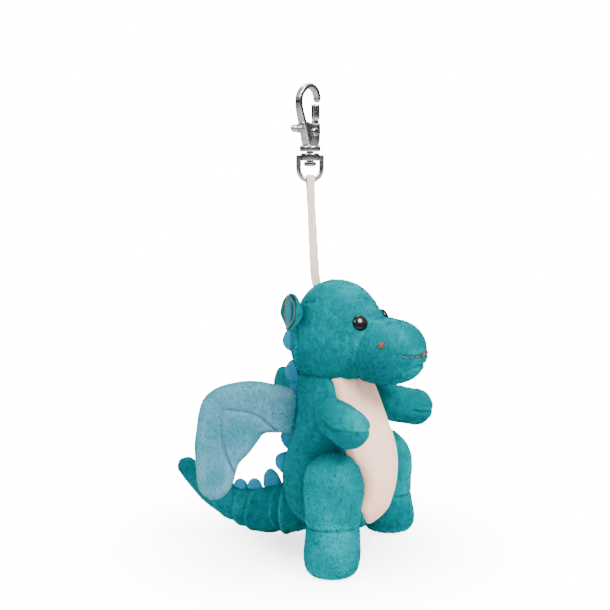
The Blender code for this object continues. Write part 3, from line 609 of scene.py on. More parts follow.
# Pale along the cheek seam, and painted light: painted highlight on the lips beside the jaw and gusset
# seams, above the mouth and on all that faces up, as if lit from above, and paler round the eyes.
head_seams_and_painted_light = (
    0.14 * bell(from_cheek, 1.0) + 0.3 * near(head_grid, jaw, 1.3)
    + 0.45 * near(head_grid, gusset + Y * 1.1, 1.0)
)
head_seams_and_painted_light += (
    0.3 * near(head_grid, mouth_line[16:80] + Z * 1.5, 1.1) + 0.62 * np.clip(facing[..., 2], 0, 1) ** 2
)
for side in (-1, 1):
    eye_at, _ = on_head(EYE_SPOT * (side, 1, 1))
    rise -= (
        0.9 * near(head_grid, eye_at, 2.9)
        - 0.3 * (near(head_grid, eye_at, 5.6) - near(head_grid, eye_at, 4.2))
    )
    nostril_at, _ = on_head(NOSTRIL_SPOT * (side, 1, 1))
    rise -= 0.45 * near(head_grid, nostril_at, 1.7)
    head_seams_and_painted_light += 0.2 * near(head_grid, eye_at, 4.5)
# Painted shade: the seam grooves are kept darker than their lips.
head_seams_and_painted_light -= 0.5 * seams
head_grid = head_grid + facing * rise[..., None]


def short_pile():
    """Short dense pile. Fine noise makes the fibres; two slower ones make the nap, paler where it is brushed
    up. The piece's light attribute pales it further along seams and where light is painted on: painted
    highlight on tops and on the lips of seams, folds and puffs, with their grooves left darker as painted
    shade. Tip pales the end of each tuft."""
    made = Effect(
        "short pile",
        {"Where": "Vector", "Base": "Color", "Light": "Color", "Dark": "Color", "Tint": "Color",
        "Seam": "Float", "Tip": "Float"},
        {"Colour": "Color", "Height": "Float"},
    )
    where, given = made.given["Where"], made.given
    fibre = made.noise(where, 3400.0, 2.0, stretch=(1.0, 1.0, 0.5))
    nap = made.span(made.noise(where, 520.0, 3.0, stretch=(1.0, 1.0, 0.6)), 0.36, 0.66)
    broad = made.span(made.noise(where, 62.0, 2.0), 0.34, 0.66)
    brushed = made.plus(made.times(nap, 0.20), made.times(broad, 0.26))
    # The seams' paleness, painted highlight and painted shade come in here.
    brushed = made.plus(brushed, made.times(given["Seam"], 0.8))
    ground = made.mix(made.span(brushed, 0.12, 1.0), given["Base"], given["Light"])
    cloud = made.times(made.span(made.noise(where, 85.0, 1.0), 0.42, 0.66), 0.7)
    ground = made.mix(cloud, ground, given["Tint"])
    between = made.times(made.span(fibre, 0.56, 0.36), 0.42)
    hairs = made.mix(between, ground, given["Dark"])
    made.join(made.result["Colour"], made.mix(made.times(given["Tip"], 0.22), hairs, given["Light"]))
    made.join(made.result["Height"], made.plus(made.span(fibre, 0.3, 0.7), made.times(nap, 0.4)))
    return made


SHORT_PILE = short_pile()


def plush_finish(name, base, light, dark, tint, bloom):
    made = Finish(name, 0.95, Sheen_Weight=0.22, Sheen_Roughness=0.45, Sheen_Tint=(*bloom, 1.0),
        Specular_IOR_Level=0.02)
    pile = made.effect(SHORT_PILE, Base=base, Light=light, Dark=dark, Tint=tint,
        Seam=made.attribute("light"), Tip=made.attribute("tip"))
    made.drive(Base_Color=pile["Colour"])
    made.bump(pile["Height"], 0.00012, 0.5)
    return made.material


def add_pile(made, seed, lie=(0, 0, -1), length=0.68, width=0.15, per_mm2=7.0, lean=0.8):
    """Plants tufts: slim triangles on random spots of the skin, leaning the way the nap lies. Their normals
    are the skin's own with a little scatter, so they shade as pile and not as chips."""
    mesh, draw = made.data, np.random.default_rng(seed)
    mesh.calc_loop_triangles()
    corners = np.empty(len(mesh.loop_triangles) * 3, np.int32)
    mesh.loop_triangles.foreach_get("vertices", corners)
    corners = corners.reshape(-1, 3)
    base, points = (np.empty(len(mesh.vertices) * 3, np.float32) for _ in range(2))
    mesh.vertices.foreach_get("normal", base)
    mesh.vertices.foreach_get("co", points)
    base, points = base.reshape(-1, 3).astype(float), points.reshape(-1, 3).astype(float) * 1000 + HANG
    a, b, c = (points[corners[:, k]] for k in range(3))
    area = np.linalg.norm(np.cross(b - a, c - a), axis=1) / 2
    count = int(area.sum() * per_mm2)
    chosen = np.searchsorted(np.cumsum(area), draw.uniform(0, area.sum(), count)).clip(0, len(area) - 1)
    r, s = np.sqrt(draw.uniform(size=(count, 1))), draw.uniform(size=(count, 1))
    share = np.hstack([1 - r, r * (1 - s), r * s])
    spot = (points[corners[chosen]] * share[..., None]).sum(1)
    up = unit((base[corners[chosen]] * share[..., None]).sum(1))
    swirl = (
        np.stack([swell(spot, 21.0, seed + k) for k in (1, 2, 3)], -1) * 0.5
        + draw.normal(size=(count, 3)) * 0.22
    )
    flow = np.asarray(lie, float) + swirl
    flow = flow - up * (flow * up).sum(-1, keepdims=True)
    tall = length * draw.uniform(0.65, 1.15, (count, 1))
    side = unit(np.cross(up, flow + draw.normal(size=(count, 3)) * 0.6)) * width / 2
    root = spot - up * 0.12
    tip = root + tall * unit(up * (1 - lean * 0.62) + flow * lean)
    tufts = np.stack([root - side, root + side, tip], 1).reshape(-1, 3)
    first, first_loop = len(points), len(mesh.loops)
    # seam carries the light attribute, the seams' paleness and the painted light and shade, over to the
    # tufts.
    seam = np.zeros(first, np.float32)
    if "light" in mesh.attributes:
        mesh.attributes["light"].data.foreach_get("value", seam)
    loops, starts = np.empty(first_loop, np.int32), np.empty(len(mesh.polygons), np.int32)
    mesh.loops.foreach_get("vertex_index", loops)
    mesh.polygons.foreach_get("loop_start", starts)
    mesh.vertices.add(3 * count)
    mesh.loops.add(3 * count)
    mesh.polygons.add(count)
    mesh.vertices.foreach_set("co", place(np.vstack([points, tufts])).astype(np.float32).ravel())
    mesh.loops.foreach_set("vertex_index",
        np.concatenate([loops, first + np.arange(3 * count, dtype=np.int32)]))
    mesh.polygons.foreach_set("loop_start",
        np.concatenate([starts, first_loop + 3 * np.arange(count, dtype=np.int32)]))
    mesh.polygons.foreach_set("use_smooth", np.ones(len(mesh.polygons), bool))
    mesh.update(calc_edges=True)
    set_value(made, "light", np.concatenate([seam, np.repeat((seam[corners[chosen]] * share).sum(1), 3)]))
    set_value(made, "tip", np.concatenate([np.zeros(first), np.tile((0.1, 0.1, 1.0), count)]))
    bent = unit(np.repeat(up + draw.normal(size=(count, 3)) * 0.11, 3, axis=0))
    mesh.normals_split_custom_set_from_vertices(np.vstack([base, bent]).astype(np.float32).tolist())


TURQUOISE = plush_finish("turquoise plush", (0.0, 0.100, 0.122), (0.0, 0.300, 0.335), (0.0, 0.045, 0.060),
    (0.0, 0.118, 0.138), (0.0, 0.72, 0.78))
head = grid_object("head_plush", head_grid, TURQUOISE, light=head_seams_and_painted_light)
add_pile(head, 11, lie=(0, 0.5, -0.8))
dress(head, "plush", "plush", "head_cover", "muzzle_cover", "head_stuffing", fill=0.95)


# Face. Two moulded black safety eyes, each on a shank through the plush into a locking washer, nostrils in
# crossed stitches, and a mouth in running stitch of brown thread with a small fork at its middle.
eye_finish = Finish("black moulded eye", 0.09, Coat_Weight=0.1, Coat_Roughness=0.05, IOR=1.42)
smear = eye_finish.span(eye_finish.noise(eye_finish.where, 900.0, 3.0), 0.35, 0.75, 0.07, 0.16)
speckle = eye_finish.noise(eye_finish.where, 400.0)
black = eye_finish.mix(speckle, (0.0015, 0.0015, 0.002), (0.004, 0.004, 0.005))
eye_finish.drive(Roughness=smear, Base_Color=black)
nylon_finish = Finish("natural nylon", 0.5)
grain = nylon_finish.noise(nylon_finish.where, 300.0)
nylon_finish.drive(Base_Color=nylon_finish.mix(grain, (0.70, 0.70, 0.66), (0.80, 0.80, 0.77)))


def spun_thread():
    """Two-ply thread: fine fray that runs from the dark of its lay to the light of its fibres."""
    made = Effect(
        "spun thread",
        {"Where": "Vector", "Lay": "Color", "Fibre": "Color"},
        {"Colour": "Color", "Height": "Float"},
    )
    given = made.given
    fray = made.noise(given["Where"], 4200.0)
    made.join(made.result["Colour"], made.mix(made.span(fray, 0.38, 0.62), given["Lay"], given["Fibre"]))
    made.join(made.result["Height"], fray)
    return made


SPUN_THREAD = spun_thread()


def thread_finish(name, lay, fibre):
    made = Finish(name, 0.65, Sheen_Weight=0.2)
    thread = made.effect(SPUN_THREAD, Lay=lay, Fibre=fibre)
    made.drive(Base_Color=thread["Colour"])
    made.bump(thread["Height"], 0.00006, 0.6)
    return made.material


BROWN_THREAD = thread_finish("brown thread", (0.020, 0.007, 0.003), (0.24, 0.075, 0.015))


def stitch(start, stop, out, radius, sink=0.5):
    """One stitch of thread between two holes, bowed out as half a wave, its ends down in the pile."""
    t = np.linspace(0, 1, 13)[:, None]
    line = (
        start * (1 - t) + stop * t
        + out * (0.42 * np.sin(np.pi * t) ** 0.6 - sink * (1 - np.sin(np.pi * t) ** 0.3))
    )
    return strand(line, radius * (0.55 + 0.45 * np.sin(np.pi * t[:, 0]) ** 0.5), 8, out)


EYE_RADIUS, EYE_RIM = 2.75, 0.5
turn_eye = np.linspace(0, np.pi / 2, 14)
for side, label in ((-1, "right"), (1, "left")):
    at_eye, out = on_head(EYE_SPOT * (side, 1, 1))
    dome = [(-3.4, 0.05), (-3.4, 0.7), (-0.2, 0.7), (-0.1, EYE_RADIUS * 0.8),
        (EYE_RIM - 0.7, EYE_RADIUS * 0.93)]
    dome += [(EYE_RIM - 0.35 + 1.55 * math.sin(t), max(EYE_RADIUS * math.cos(t) ** 0.9, 0.03))
        for t in turn_eye]
    eye = grid_object(f"eye_ball_{label}", revolve(at_eye, out, dome, 64), eye_finish.material)
    dress(eye, "plush", "eye_black", f"eye_{label}")
    nodes[f"eye_washer_{label}"].data.materials[0] = nylon_finish.material
    at_nostril, out = on_head(NOSTRIL_SPOT * (side, 1, 1))
    over = unit(np.cross(out, np.cross(Z, out)))
    level = np.cross(over, out)
    stitches = []
    for turned, half in zip(np.radians((5, 40, 82, 118, 152)), (1.5, 1.2, 1.45, 1.25, 1.15)):
        spoke = (math.cos(turned) * level + math.sin(turned) * over) * half
        stitches.append(stitch(at_nostril - spoke, at_nostril + spoke, out, 0.2))
    nostril = grid_object(f"nostril_stitch_{label}", stitches, BROWN_THREAD)
    dress(nostril, "plush", "thread", f"nostril_{label}")
DASHES, FORK_AT = 9, 44
holes = np.linspace(0, 96, DASHES * 2).astype(int)
mouth_out = head_facing(mouth_line)
dashes = [
    stitch(mouth_line[a], mouth_line[b], mouth_out[(a + b) // 2], 0.2)
    for a, b in zip(holes[::2], holes[1::2])
]
fork = mouth_line[FORK_AT]
for end in ((-1.1, 0.2, 1.0), (1.1, 0.2, 1.2), (0, 0.1, -1.4)):
    dashes.append(stitch(fork, fork + np.array(end), mouth_out[FORK_AT], 0.19, 0.3))
mouth = grid_object("mouth_thread", dashes, BROWN_THREAD)
dress(mouth, "plush", "thread", "mouth_stitch")


# Ears. Each is a cupped almond of the same plush, folded once down its middle, with a narrow light blue
# lining let into its hollow and overlocked round in olive thread. The lobe beside the face is the fuller.
EAR_SPOT, EAR_STAND, EAR_DEPTH = np.array((14.6, 17.2, 85.2)), 1.9, 2.6
EAR_HALF_WIDTH, EAR_HALF_HEIGHT = 4.6, 6.6
LIGHT_BLUE = plush_finish("light blue plush", (0.052, 0.205, 0.285), (0.17, 0.39, 0.48),
    (0.02, 0.11, 0.165), (0.018, 0.185, 0.232), (0.5, 0.85, 1.0))
OLIVE_THREAD = thread_finish("olive overlock thread", (0.05, 0.05, 0.03), (0.25, 0.22, 0.11))
for side, label in ((-1, "right"), (1, "left")):
    root, out_head = on_head(EAR_SPOT * (side, 1, 1))
    out = unit(out_head + X * side * 0.45)
    up = unit(Z + Y * 0.10 - out * out[2])
    wide = np.cross(up, out) * -side  # towards the face
    rim_at = root + out_head * EAR_STAND + out * (EAR_DEPTH + 1.1)
    round_ear = 2 * np.pi * np.arange(96) / 96
    pinch = 1 - 0.62 * np.clip(-np.sin(round_ear), 0, 1) ** 1.5

    def cup(spread, level, narrow=1.0, aside=0.0):
        """A ring of the cup: an almond this far from its middle, sunk by a parabola and folded down it."""
        flat, high = np.cos(round_ear) * spread * pinch * narrow + aside, np.sin(round_ear) * spread
        from_middle = np.minimum(np.hypot(flat, high), 1.0)
        sunk = level - EAR_DEPTH * (1 - from_middle**2) + 0.55 * np.clip(flat, 0, 1) * (1 - high**2)
        fold = (
            -0.9 * bell((flat - aside) * EAR_HALF_WIDTH, 0.45) * np.clip(1 - (high * 1.4 - 0.15) ** 4, 0, 1)
            * (spread < 0.8)
        )
        return (
            rim_at + np.outer(flat * EAR_HALF_WIDTH, wide) + np.outer(high * EAR_HALF_HEIGHT, up)
            + np.outer(sunk + fold, out)
        )

    inside = [cup(s, -0.25) for s in np.linspace(0.03, 0.86, 22)]
    roll = [cup(0.93 + 0.07 * math.sin(t), 0.30 - 0.75 * (1 - math.cos(t)))
        for t in np.linspace(0, np.pi, 9)]
    # Down to the head's skin.
    outside = [cup(s, -1.3 - 3.6 * (1 - s) ** 1.5) for s in np.linspace(0.9, 0.03, 22)]
    ear = grid_object(f"ear_plush_{label}", np.array(inside + roll + outside), TURQUOISE)
    add_pile(ear, 40 + side, lie=(0, 0, 0.6), length=0.6)
    dress(ear, "plush", "plush", f"ear_outer_{label}", fill=0.4)
    spreads, narrow, aside = np.linspace(0.03, 0.86, 24), 0.62, -0.17
    lining_rows = (
        [cup(s, 0.35, narrow, aside) for s in spreads] + [cup(s, 0.0, narrow, aside) for s in spreads[::-1]]
    )
    lining = grid_object(f"ear_lining_plush_{label}", np.array(lining_rows), LIGHT_BLUE)
    add_pile(lining, 50 + side, lie=(0, 0, 0.6), length=0.4, width=0.14, per_mm2=8.0)
    dress(lining, "plush", "light_plush", f"ear_lining_{label}")
    loops = 60
    t = np.linspace(0, 2 * np.pi * loops, loops * 10)
    ring_points = cup(0.84, 0.45, narrow, aside)
    at_ring = [np.interp(t / loops, np.append(round_ear, 2 * np.pi), np.append(c, c[0]))
        for c in ring_points.T]
    at_ring = np.column_stack(at_ring)
    inward = unit(ring_points.mean(0) - at_ring)
    overlock = at_ring + inward * 0.36 * np.cos(t)[:, None] + out * 0.2 * np.sin(t)[:, None]
    serge = grid_object(f"ear_overlock_{label}", strand(overlock, 0.085, 5, out), OLIVE_THREAD)
    dress(serge, "plush", "thread")



# Body. A pear of plush stuffed firm, with a smooth peach belly panel let in at the front from the throat to
# the crotch; the two cloths meet in a sunk seam.
TORSO_RINGS = (
    (6.2, 12.4, 0.05), (6.4, 12.3, 2.5), (7.0, 12.0, 6.0), (9.5, 10.8, 12.0), (15.2, 9.7, 17.8),
    (21.5, 9.2, 20.2), (28.2, 8.6, 20.7),
    (35.5, 7.9, 19.6), (42.0, 7.4, 17.6), (49.5, 8.0, 15.7), (57.0, 9.9, 14.2), (62.5, 11.0, 12.2),
    (66.0, 11.2, 8.6),
    (67.2, 11.2, 4.0), (67.5, 11.2, 0.05),
)
BELLY_EDGE = np.array((
    (6.0, 0.0), (10.4, 0.02), (11.2, 3.2), (14.0, 7.8), (19.3, 13.0), (24.5, 15.6), (31.6, 16.2),
    (38.3, 15.7), (43.2, 14.6),
    (49.7, 13.3), (54.6, 12.6), (58.8, 11.8), (63.0, 10.6), (66.0, 7.4), (67.2, 3.4),
))
ARM_ROOT, ARM_RADIUS = np.array((16.7, 3.1, 51.0)), 6.5
TAIL_ROOT, TAIL_RADIUS = np.array((0.0, 27.0, 12.5)), 9.2
HIP_TURN, HIP_SEAT = math.radians(20.7), 15.0


def hip_of(side):
    """Centre of a hip seat and the way it faces."""
    out = np.array((side * math.cos(HIP_TURN), -math.sin(HIP_TURN), 0))
    return np.array((0, 8.6, 30.0)) + out * HIP_SEAT, out


def push_in(points, centre, radius, way):
    """Points inside a ball are moved along the way until they leave it, as a limb's root dents the body."""
    from_centre = points - centre
    b = from_centre @ way
    room = radius**2 - (from_centre**2).sum(-1)
    step = np.where(room > 0, -b + np.sqrt(np.maximum(b**2 + room, 0)), 0)
    return points + step[..., None] * way


def torso_patch(belly, columns):
    """Rings of the pear. Angle 0 is the front; the belly takes the angles inside the seam's edge, the plush
    all the others, so both cloths share the seam."""
    rings = smooth(TORSO_RINGS, 11)
    high, middle, half = rings[:, 0:1], rings[:, 1:2], rings[:, 2:3]
    width = half * 0.95
    edge = np.interp(high, *BELLY_EDGE.T)
    seam = np.arcsin(np.clip(edge / width, 0, 0.985))
    share = np.linspace(-1, 1, columns)[None, :]
    share = np.sin(share * np.pi / 2) * 0.25 + share * 0.75
    angle = share * seam if belly else np.pi + share * (np.pi - seam)
    points = np.stack(np.broadcast_arrays(width * np.sin(angle), middle - half * np.cos(angle),
        high + 0 * angle), -1)
    out = unit(np.stack(np.broadcast_arrays(np.sin(angle) / 0.95, -np.cos(angle), 0 * angle), -1))
    slope = np.gradient(half[:, 0], high[:, 0])[:, None, None]
    out = unit(out - slope * Z)
    from_seam = (1 - np.abs(share)) * (seam if belly else np.pi - seam) * half
    rise = 0.28 * swell(points, 19.0, 7) + 0.08 * swell(points, 7.0, 8)
    rise -= 0.65 * bell(from_seam, 0.6) - 0.35 * bell(from_seam - 2.6, 1.6)
    if belly:
        rise += 0.15 + 0.16 * swell(points * (1, 1, 0.5), 9.0, 9)
    else:
        rise -= 0.3 * bell(points[..., 0], 0.6)
    rise -= 0.22 * np.cos(angle * 17) * bell(points[..., 2] - 61.5, 3.0)
    for side in (-1, 1):
        seat, hip = hip_of(side)
        rim = ((points - seat) @ np.cross(Z, hip)) ** 2 + ((points[..., 2] - 24.0) * 0.75) ** 2
        rise -= 0.15 * bell(np.sqrt(rim) - 11.6, 1.6) * ((points - seat) @ hip > -6)
        rise -= 0.8 * near(points, ARM_ROOT * (side, 1, 1), 6.6) ** 4
    rise -= 0.9 * bell(np.linalg.norm(points - TAIL_ROOT, axis=-1) - TAIL_RADIUS - 0.3, 1.3)
    points = points + out * rise[..., None]
    for side in (-1, 1):
        seat, hip = hip_of(side)
        beyond = (points - seat) @ hip + 0.3
        foot = (
            bell(((points - seat) @ np.cross(Z, hip)) / 11.2, 1.0)
            * bell((points[..., 2] - 23.0) / 14.0, 1.0)
        )
        points = points - hip * (np.clip(beyond, 0, None) * np.clip((foot - 0.12) / 0.35, 0, 1))[..., None]
        points = push_in(points, ARM_ROOT * (side, 1, 1), ARM_RADIUS - 0.4, unit(np.array((-side, 0.4, 0))))
    points = push_in(points, TAIL_ROOT, TAIL_RADIUS - 0.6, unit((0, -1, 0.2)))
    return points, np.clip(0.45 * bell(from_seam, 1.5) + 0.1 * bell(points[..., 2] - 62.0, 2.0), 0, 1)


torso_grid, torso_light = torso_patch(False, 240)
torso = grid_object("torso_plush", torso_grid, TURQUOISE, wrap=False, light=torso_light)
add_pile(torso, 21)
dress(torso, "plush", "plush", "torso_cover", "torso_stuffing", fill=0.95)


def belly_finish():
    """Smooth peach knit: fine vertical ribs, pressed slightly darker in broad clouds, with a darker edge."""
    made = Finish("belly knit", 0.9, Sheen_Weight=0.2, Sheen_Tint=(1.0, 0.88, 0.80, 1.0),
        Specular_IOR_Level=0.2)
    rib = made.noise(made.where, 1700.0, 3.0, stretch=(1.0, 1.0, 0.5))
    cloud = made.span(made.noise(made.where, 60.0, 3.0), 0.35, 0.65)
    cloth = made.mix(made.times(cloud, 0.6), (1.0, 0.61, 0.45), (0.97, 0.53, 0.38))
    edge = made.mix(made.times(made.attribute("light"), 0.5), cloth, (0.58, 0.36, 0.29))
    made.drive(Base_Color=made.mix(made.times(made.span(rib, 0.35, 0.7), 0.3), edge, (1.0, 0.75, 0.61)))
    made.bump(rib, 0.00010, 0.5)
    return made.material


belly_grid, belly_light = torso_patch(True, 90)
CROTCH_ROW = 25  # the panel starts where its two edges meet
belly = grid_object("belly_cloth", belly_grid[CROTCH_ROW:], belly_finish(), wrap=False,
    light=belly_light[CROTCH_ROW:])
dress(belly, "plush", "belly_cloth", "belly_panel", fill=0.95)


# Legs. Each is a stuffed tube of plush, full at the thigh where it is sewn to the hip, gathered into an
# ankle seam, with a separate round foot that squats flat on its sole.
FEET = {1: np.array((28.0, 2.0, 0)), -1: np.array((-26.9, -1.8, 0))}
ANKLE = 15.8
LEG_TABLE = (
    (0.0, 0.1, 0.1), (0.0, 3.2, 3.1), (0.0, 5.6, 5.4), (0.35, 7.3, 7.1), (1.4, 8.6, 8.4), (3.4, 9.6, 9.3),
    (6.5, 9.95, 9.65),
    (11.0, 9.5, 9.3), (15.8, 9.3, 9.1), (21.0, 9.8, 9.6), (28.0, 10.3, 10.3), (33.5, 8.7, 9.4),
    (37.0, 6.3, 6.9), (39.0, 3.8, 3.9),
    (39.8, 0.1, 0.1),
)
for side, label in ((-1, "right"), (1, "left")):
    seat, hip = hip_of(side)
    sideways = np.cross(Z, hip)
    thigh = np.array((side * 20.4, 0.9, 0))
    table = smooth(LEG_TABLE, 9)
    high, swell_out, half = table[:, 0:1], np.maximum(table[:, 1:2], 0.05), np.maximum(table[:, 2:3], 0.05)
    down = np.minimum(high / 28.0, 1.0)
    middle = FEET[side] + (thigh - FEET[side]) * down + Z * high
    angle = (2 * np.pi * np.arange(150) / 150)[None, :]
    spoke = np.cos(angle)[..., None] * hip + np.sin(angle)[..., None] * sideways
    leg_grid = (
        middle[:, None] + swell_out[..., None] * np.cos(angle)[..., None] * hip
        + half[..., None] * np.sin(angle)[..., None] * sideways
    )
    from_ankle = leg_grid[..., 2] - ANKLE - 0.5 * np.sin(angle * 2 + 1.0)
    lumps = 0.28 * swell(leg_grid, 15.0, 60 + side) + 0.08 * swell(leg_grid, 6.0, 62 + side)
    lumps *= np.clip(leg_grid[..., 2] / 3.0, 0, 1)
    gather = 0.08 * np.sin(angle * 19 + 2.0 * swell(leg_grid, 8.0, 64)) * bell(from_ankle, 2.2)
    lumps += gather - 0.5 * bell(from_ankle, 0.5) + 0.12 * bell(np.abs(from_ankle) - 2.2, 1.4)
    leg_grid = leg_grid + spoke * lumps[..., None]
    beyond = 0.25 - (leg_grid - seat) @ hip
    leg_grid = leg_grid + hip * np.clip(beyond, 0, None)[..., None]
    # Painted light: the outer side of the leg painted lighter, a painted highlight on the lip above the
    # ankle seam, painted shade in the seam itself, and paler near the sole.
    leg_painted_light = (
        0.22 + 0.25 * np.cos(angle) + 0.3 * bell(from_ankle - 0.9, 0.9) - 0.3 * bell(from_ankle, 0.5)
        + 0.2 * bell(leg_grid[..., 2] - 1.0, 1.6)
    )
    split = int(np.argmin(np.abs(table[20:, 0] - ANKLE))) + 20
    parts = (
        ("foot_plush", slice(0, split + 1), [f"foot_cover_{label}"], 70),
        ("leg_plush", slice(split, None), [f"leg_cover_{label}", f"leg_stuffing_{label}"], 72),
    )
    for name, rows, covers, seed in parts:
        part = grid_object(f"{name}_{label}", leg_grid[rows], TURQUOISE, light=leg_painted_light[rows])
        add_pile(part, seed + side)
        dress(part, f"leg_{label}", "plush", *covers, fill=0.9)


# Arms and tail. Stuffed tubes with a ball root that turns in the seam: short round arms held out in front,
# and a tail that tapers, curls up and is tucked into deep folds across its length.
def limb_grid(path, radii, root_radius, tip_radius, around=110):
    """Circles carried along a path, with a round root before it and a round end after it."""
    path, radii = np.asarray(path, float), np.asarray(radii, float)
    way = unit(np.gradient(path, axis=0))
    bend = np.linspace(0, np.pi / 2, 12)[1:]
    before = path[0] - way[0] * root_radius * np.sin(bend[::-1, None])
    after = path[-1] + way[-1] * tip_radius * np.sin(bend[:, None])
    line = np.vstack([before, path, after])
    size = np.concatenate([root_radius * np.cos(bend[::-1]), radii, tip_radius * np.cos(bend)])
    along = np.vstack([np.tile(way[0], (len(bend), 1)), way, np.tile(way[-1], (len(bend), 1))])
    side = unit(np.cross(along, Z + 1e-6 * Y))
    over = np.cross(side, along)
    a = 2 * np.pi * np.arange(around) / around
    out = np.cos(a)[None, :, None] * side[:, None] + np.sin(a)[None, :, None] * over[:, None]
    return line[:, None] + np.maximum(size, 0.03)[:, None, None] * out, out, a


ARM_ENDS = {1: np.array((26.5, -8.6, 47.8)), -1: np.array((-26.0, -7.8, 50.4))}
for side, label in ((-1, "right"), (1, "left")):
    root = ARM_ROOT * (side, 1, 1)
    share = np.linspace(0, 1, 34)[:, None]
    path = root + (ARM_ENDS[side] - root) * share
    radii = ARM_RADIUS * (1 + 0.03 * share[:, 0])
    arm_grid, out, _ = limb_grid(path, radii, ARM_RADIUS, ARM_RADIUS * 1.03)
    reach = unit(ARM_ENDS[side] - root)
    level = (
        ARM_ENDS[side][2] + 0.2 + 0.10 * (arm_grid[..., 1] + 7.8) + 0.25 * np.sin(arm_grid[..., 1] * 0.5)
    )
    seam_side = arm_grid[..., 2] - level
    outer = np.clip((arm_grid - path.mean(0)) @ unit((side * 0.88, -0.47, 0)) / 4.0, 0, 1)
    lumps = 0.25 * swell(arm_grid, 10.0, 80 + side) + 0.08 * swell(arm_grid, 5.0, 82 + side)
    lumps += (0.25 * bell(np.abs(seam_side) - 1.9, 1.2) - 0.75 * bell(seam_side, 0.5)) * outer
    arm_grid = arm_grid + out * lumps[..., None]
    # Painted light: a painted highlight on the lip above the arm's seam, painted shade in the seam, and the
    # top of the arm painted lighter as if lit from above.
    arm_painted_light = (
        (0.7 * bell(seam_side - 0.9, 0.8) - 0.4 * bell(seam_side, 0.45)) * outer
        + 0.4 * np.clip(out[..., 2], 0, 1) ** 2
    )
    arm = grid_object(f"arm_plush_{label}", arm_grid, TURQUOISE, light=arm_painted_light)
    add_pile(arm, 84 + side)
    dress(arm, f"arm_{label}", "plush", f"arm_cover_{label}", f"arm_stuffing_{label}", fill=0.9)

TAIL_LINE = ((27.0, 12.5, 9.2), (34.0, 10.4, 8.8), (41.0, 9.2, 8.0), (48.0, 9.3, 7.0), (55.0, 10.9, 6.2),
    (61.5, 13.5, 5.4), (67.5, 17.2, 4.5), (72.5, 21.3, 3.4))
tail_line = evened(smooth(TAIL_LINE, 8), 0.5)
tail_path = np.column_stack([np.zeros(len(tail_line)), tail_line[:, 0], tail_line[:, 1]])
tail_grid, out, a = limb_grid(tail_path, tail_line[:, 2], TAIL_RADIUS, 3.4, 140)
tail_lumps, tail_painted_light = 0.22 * swell(tail_grid, 12.0, 90), np.zeros(tail_grid.shape[:2])
under = 1 - 0.85 * np.clip(np.sin(a), 0, 1) ** 2  # the pleats fade out over the tail's back
for where, deep, slant in ((30.0, 1.35, -0.02), (33.2, 0.75, 0.08), (44.4, 0.95, -0.03), (50.2, 0.8, 0.05),
        (58.5, 0.35, 0.35)):
    run_back = tail_grid[..., 1] - where - slant * (tail_grid[..., 2] - 10.0) - 0.5 * np.sin(a * 2 + where)
    step = np.where(run_back < 0, bell(run_back, 0.45), np.exp(-np.maximum(run_back, 0) / 1.9))
    tail_lumps = tail_lumps - deep * (step - 0.35 * bell(run_back + 1.5, 1.0)) * under
    # Painted light: a painted highlight on the crest before each pleat and painted shade down in its fold.
    tail_painted_light += (
        0.5 * deep * bell(run_back + 1.1, 0.7) * under - 0.4 * deep * bell(run_back - 0.3, 0.5) * under
    )
at_tip = np.clip((tail_grid[..., 1] - 70.0) / 5.0, 0, 1)  # squared off, with a notch down its end
tail_lumps = (
    tail_lumps + at_tip * (0.55 - 1.3 * bell(tail_grid[..., 0], 0.9) * np.clip(np.sin(a) + 0.4, 0, 1))
)
tail_grid = tail_grid + out * tail_lumps[..., None] + at_tip[..., None] * np.array((0, 0.7, 0.9))
tail = grid_object("tail_plush", tail_grid, TURQUOISE, light=tail_painted_light)
add_pile(tail, 92, lie=(0, 0.9, -0.3))
dress(tail, "tail", "plush", "tail_cover", "tail_stuffing", fill=0.85)


# Wings. Two cloths face to face over a thin wadding, light blue in front and turquoise behind, turned out
# through the root and quilted along two lines from the elbow; the lower edge is cut in scallops.
WING_ROOT, WING_SPREADS = np.array((6.0, 24.6, 0.0)), {1: math.radians(46), -1: math.radians(35)}
WING_TOP = (
    (-1.4, 57.2), (5.3, 58.7), (11.5, 60.0), (16.6, 60.3), (22.2, 59.5), (26.7, 58.1), (30.1, 55.8),
    (32.1, 53.0), (33.2, 49.1),
    (34.1, 43.4), (34.8, 37.6), (34.6, 31.8), (34.3, 26.0), (33.8, 22.5), (32.1, 19.6), (30.0, 18.2),
)
WING_LOW = (
    (-0.6, 41.0), (5.3, 41.3), (9.9, 41.2), (12.1, 38.7), (15.6, 34.1), (19.0, 30.5), (20.5, 26.2),
    (21.6, 22.7), (23.6, 19.6),
    (26.5, 17.7), (28.4, 17.6),
)
QUILT_TO_ROOT = ((24.8, 50.7), (21.1, 50.0), (16.1, 49.3), (12.1, 47.6), (9.3, 45.3), (6.2, 42.4))
QUILT_TO_TIP = ((24.8, 50.7), (25.0, 46.0), (24.9, 40.2), (23.8, 34.4), (22.1, 30.0), (21.0, 27.6))
quilting = [evened(smooth(line, 8), 0.3) for line in (QUILT_TO_ROOT, QUILT_TO_TIP)]
quilting = np.vstack([np.column_stack([line, np.zeros(len(line))]) for line in quilting])
WING_PUFF = 1.9
top, low = (evened(smooth(line, 12), 0.01) for line in (WING_TOP, WING_LOW))
top, low = (line[np.linspace(0, len(line) - 1, 170).astype(int)] for line in (top, low))
share = 0.5 - 0.5 * np.cos(np.linspace(0, 1, 80) * np.pi)[None, :]
flat = low[:, None] * (1 - share[..., None]) + top[:, None] * share[..., None]
flat3 = np.dstack([flat, np.zeros(flat.shape[:2])])
outline = np.vstack([top, low[::-1]])
outline = np.column_stack([outline, np.zeros(len(outline))])[::2]
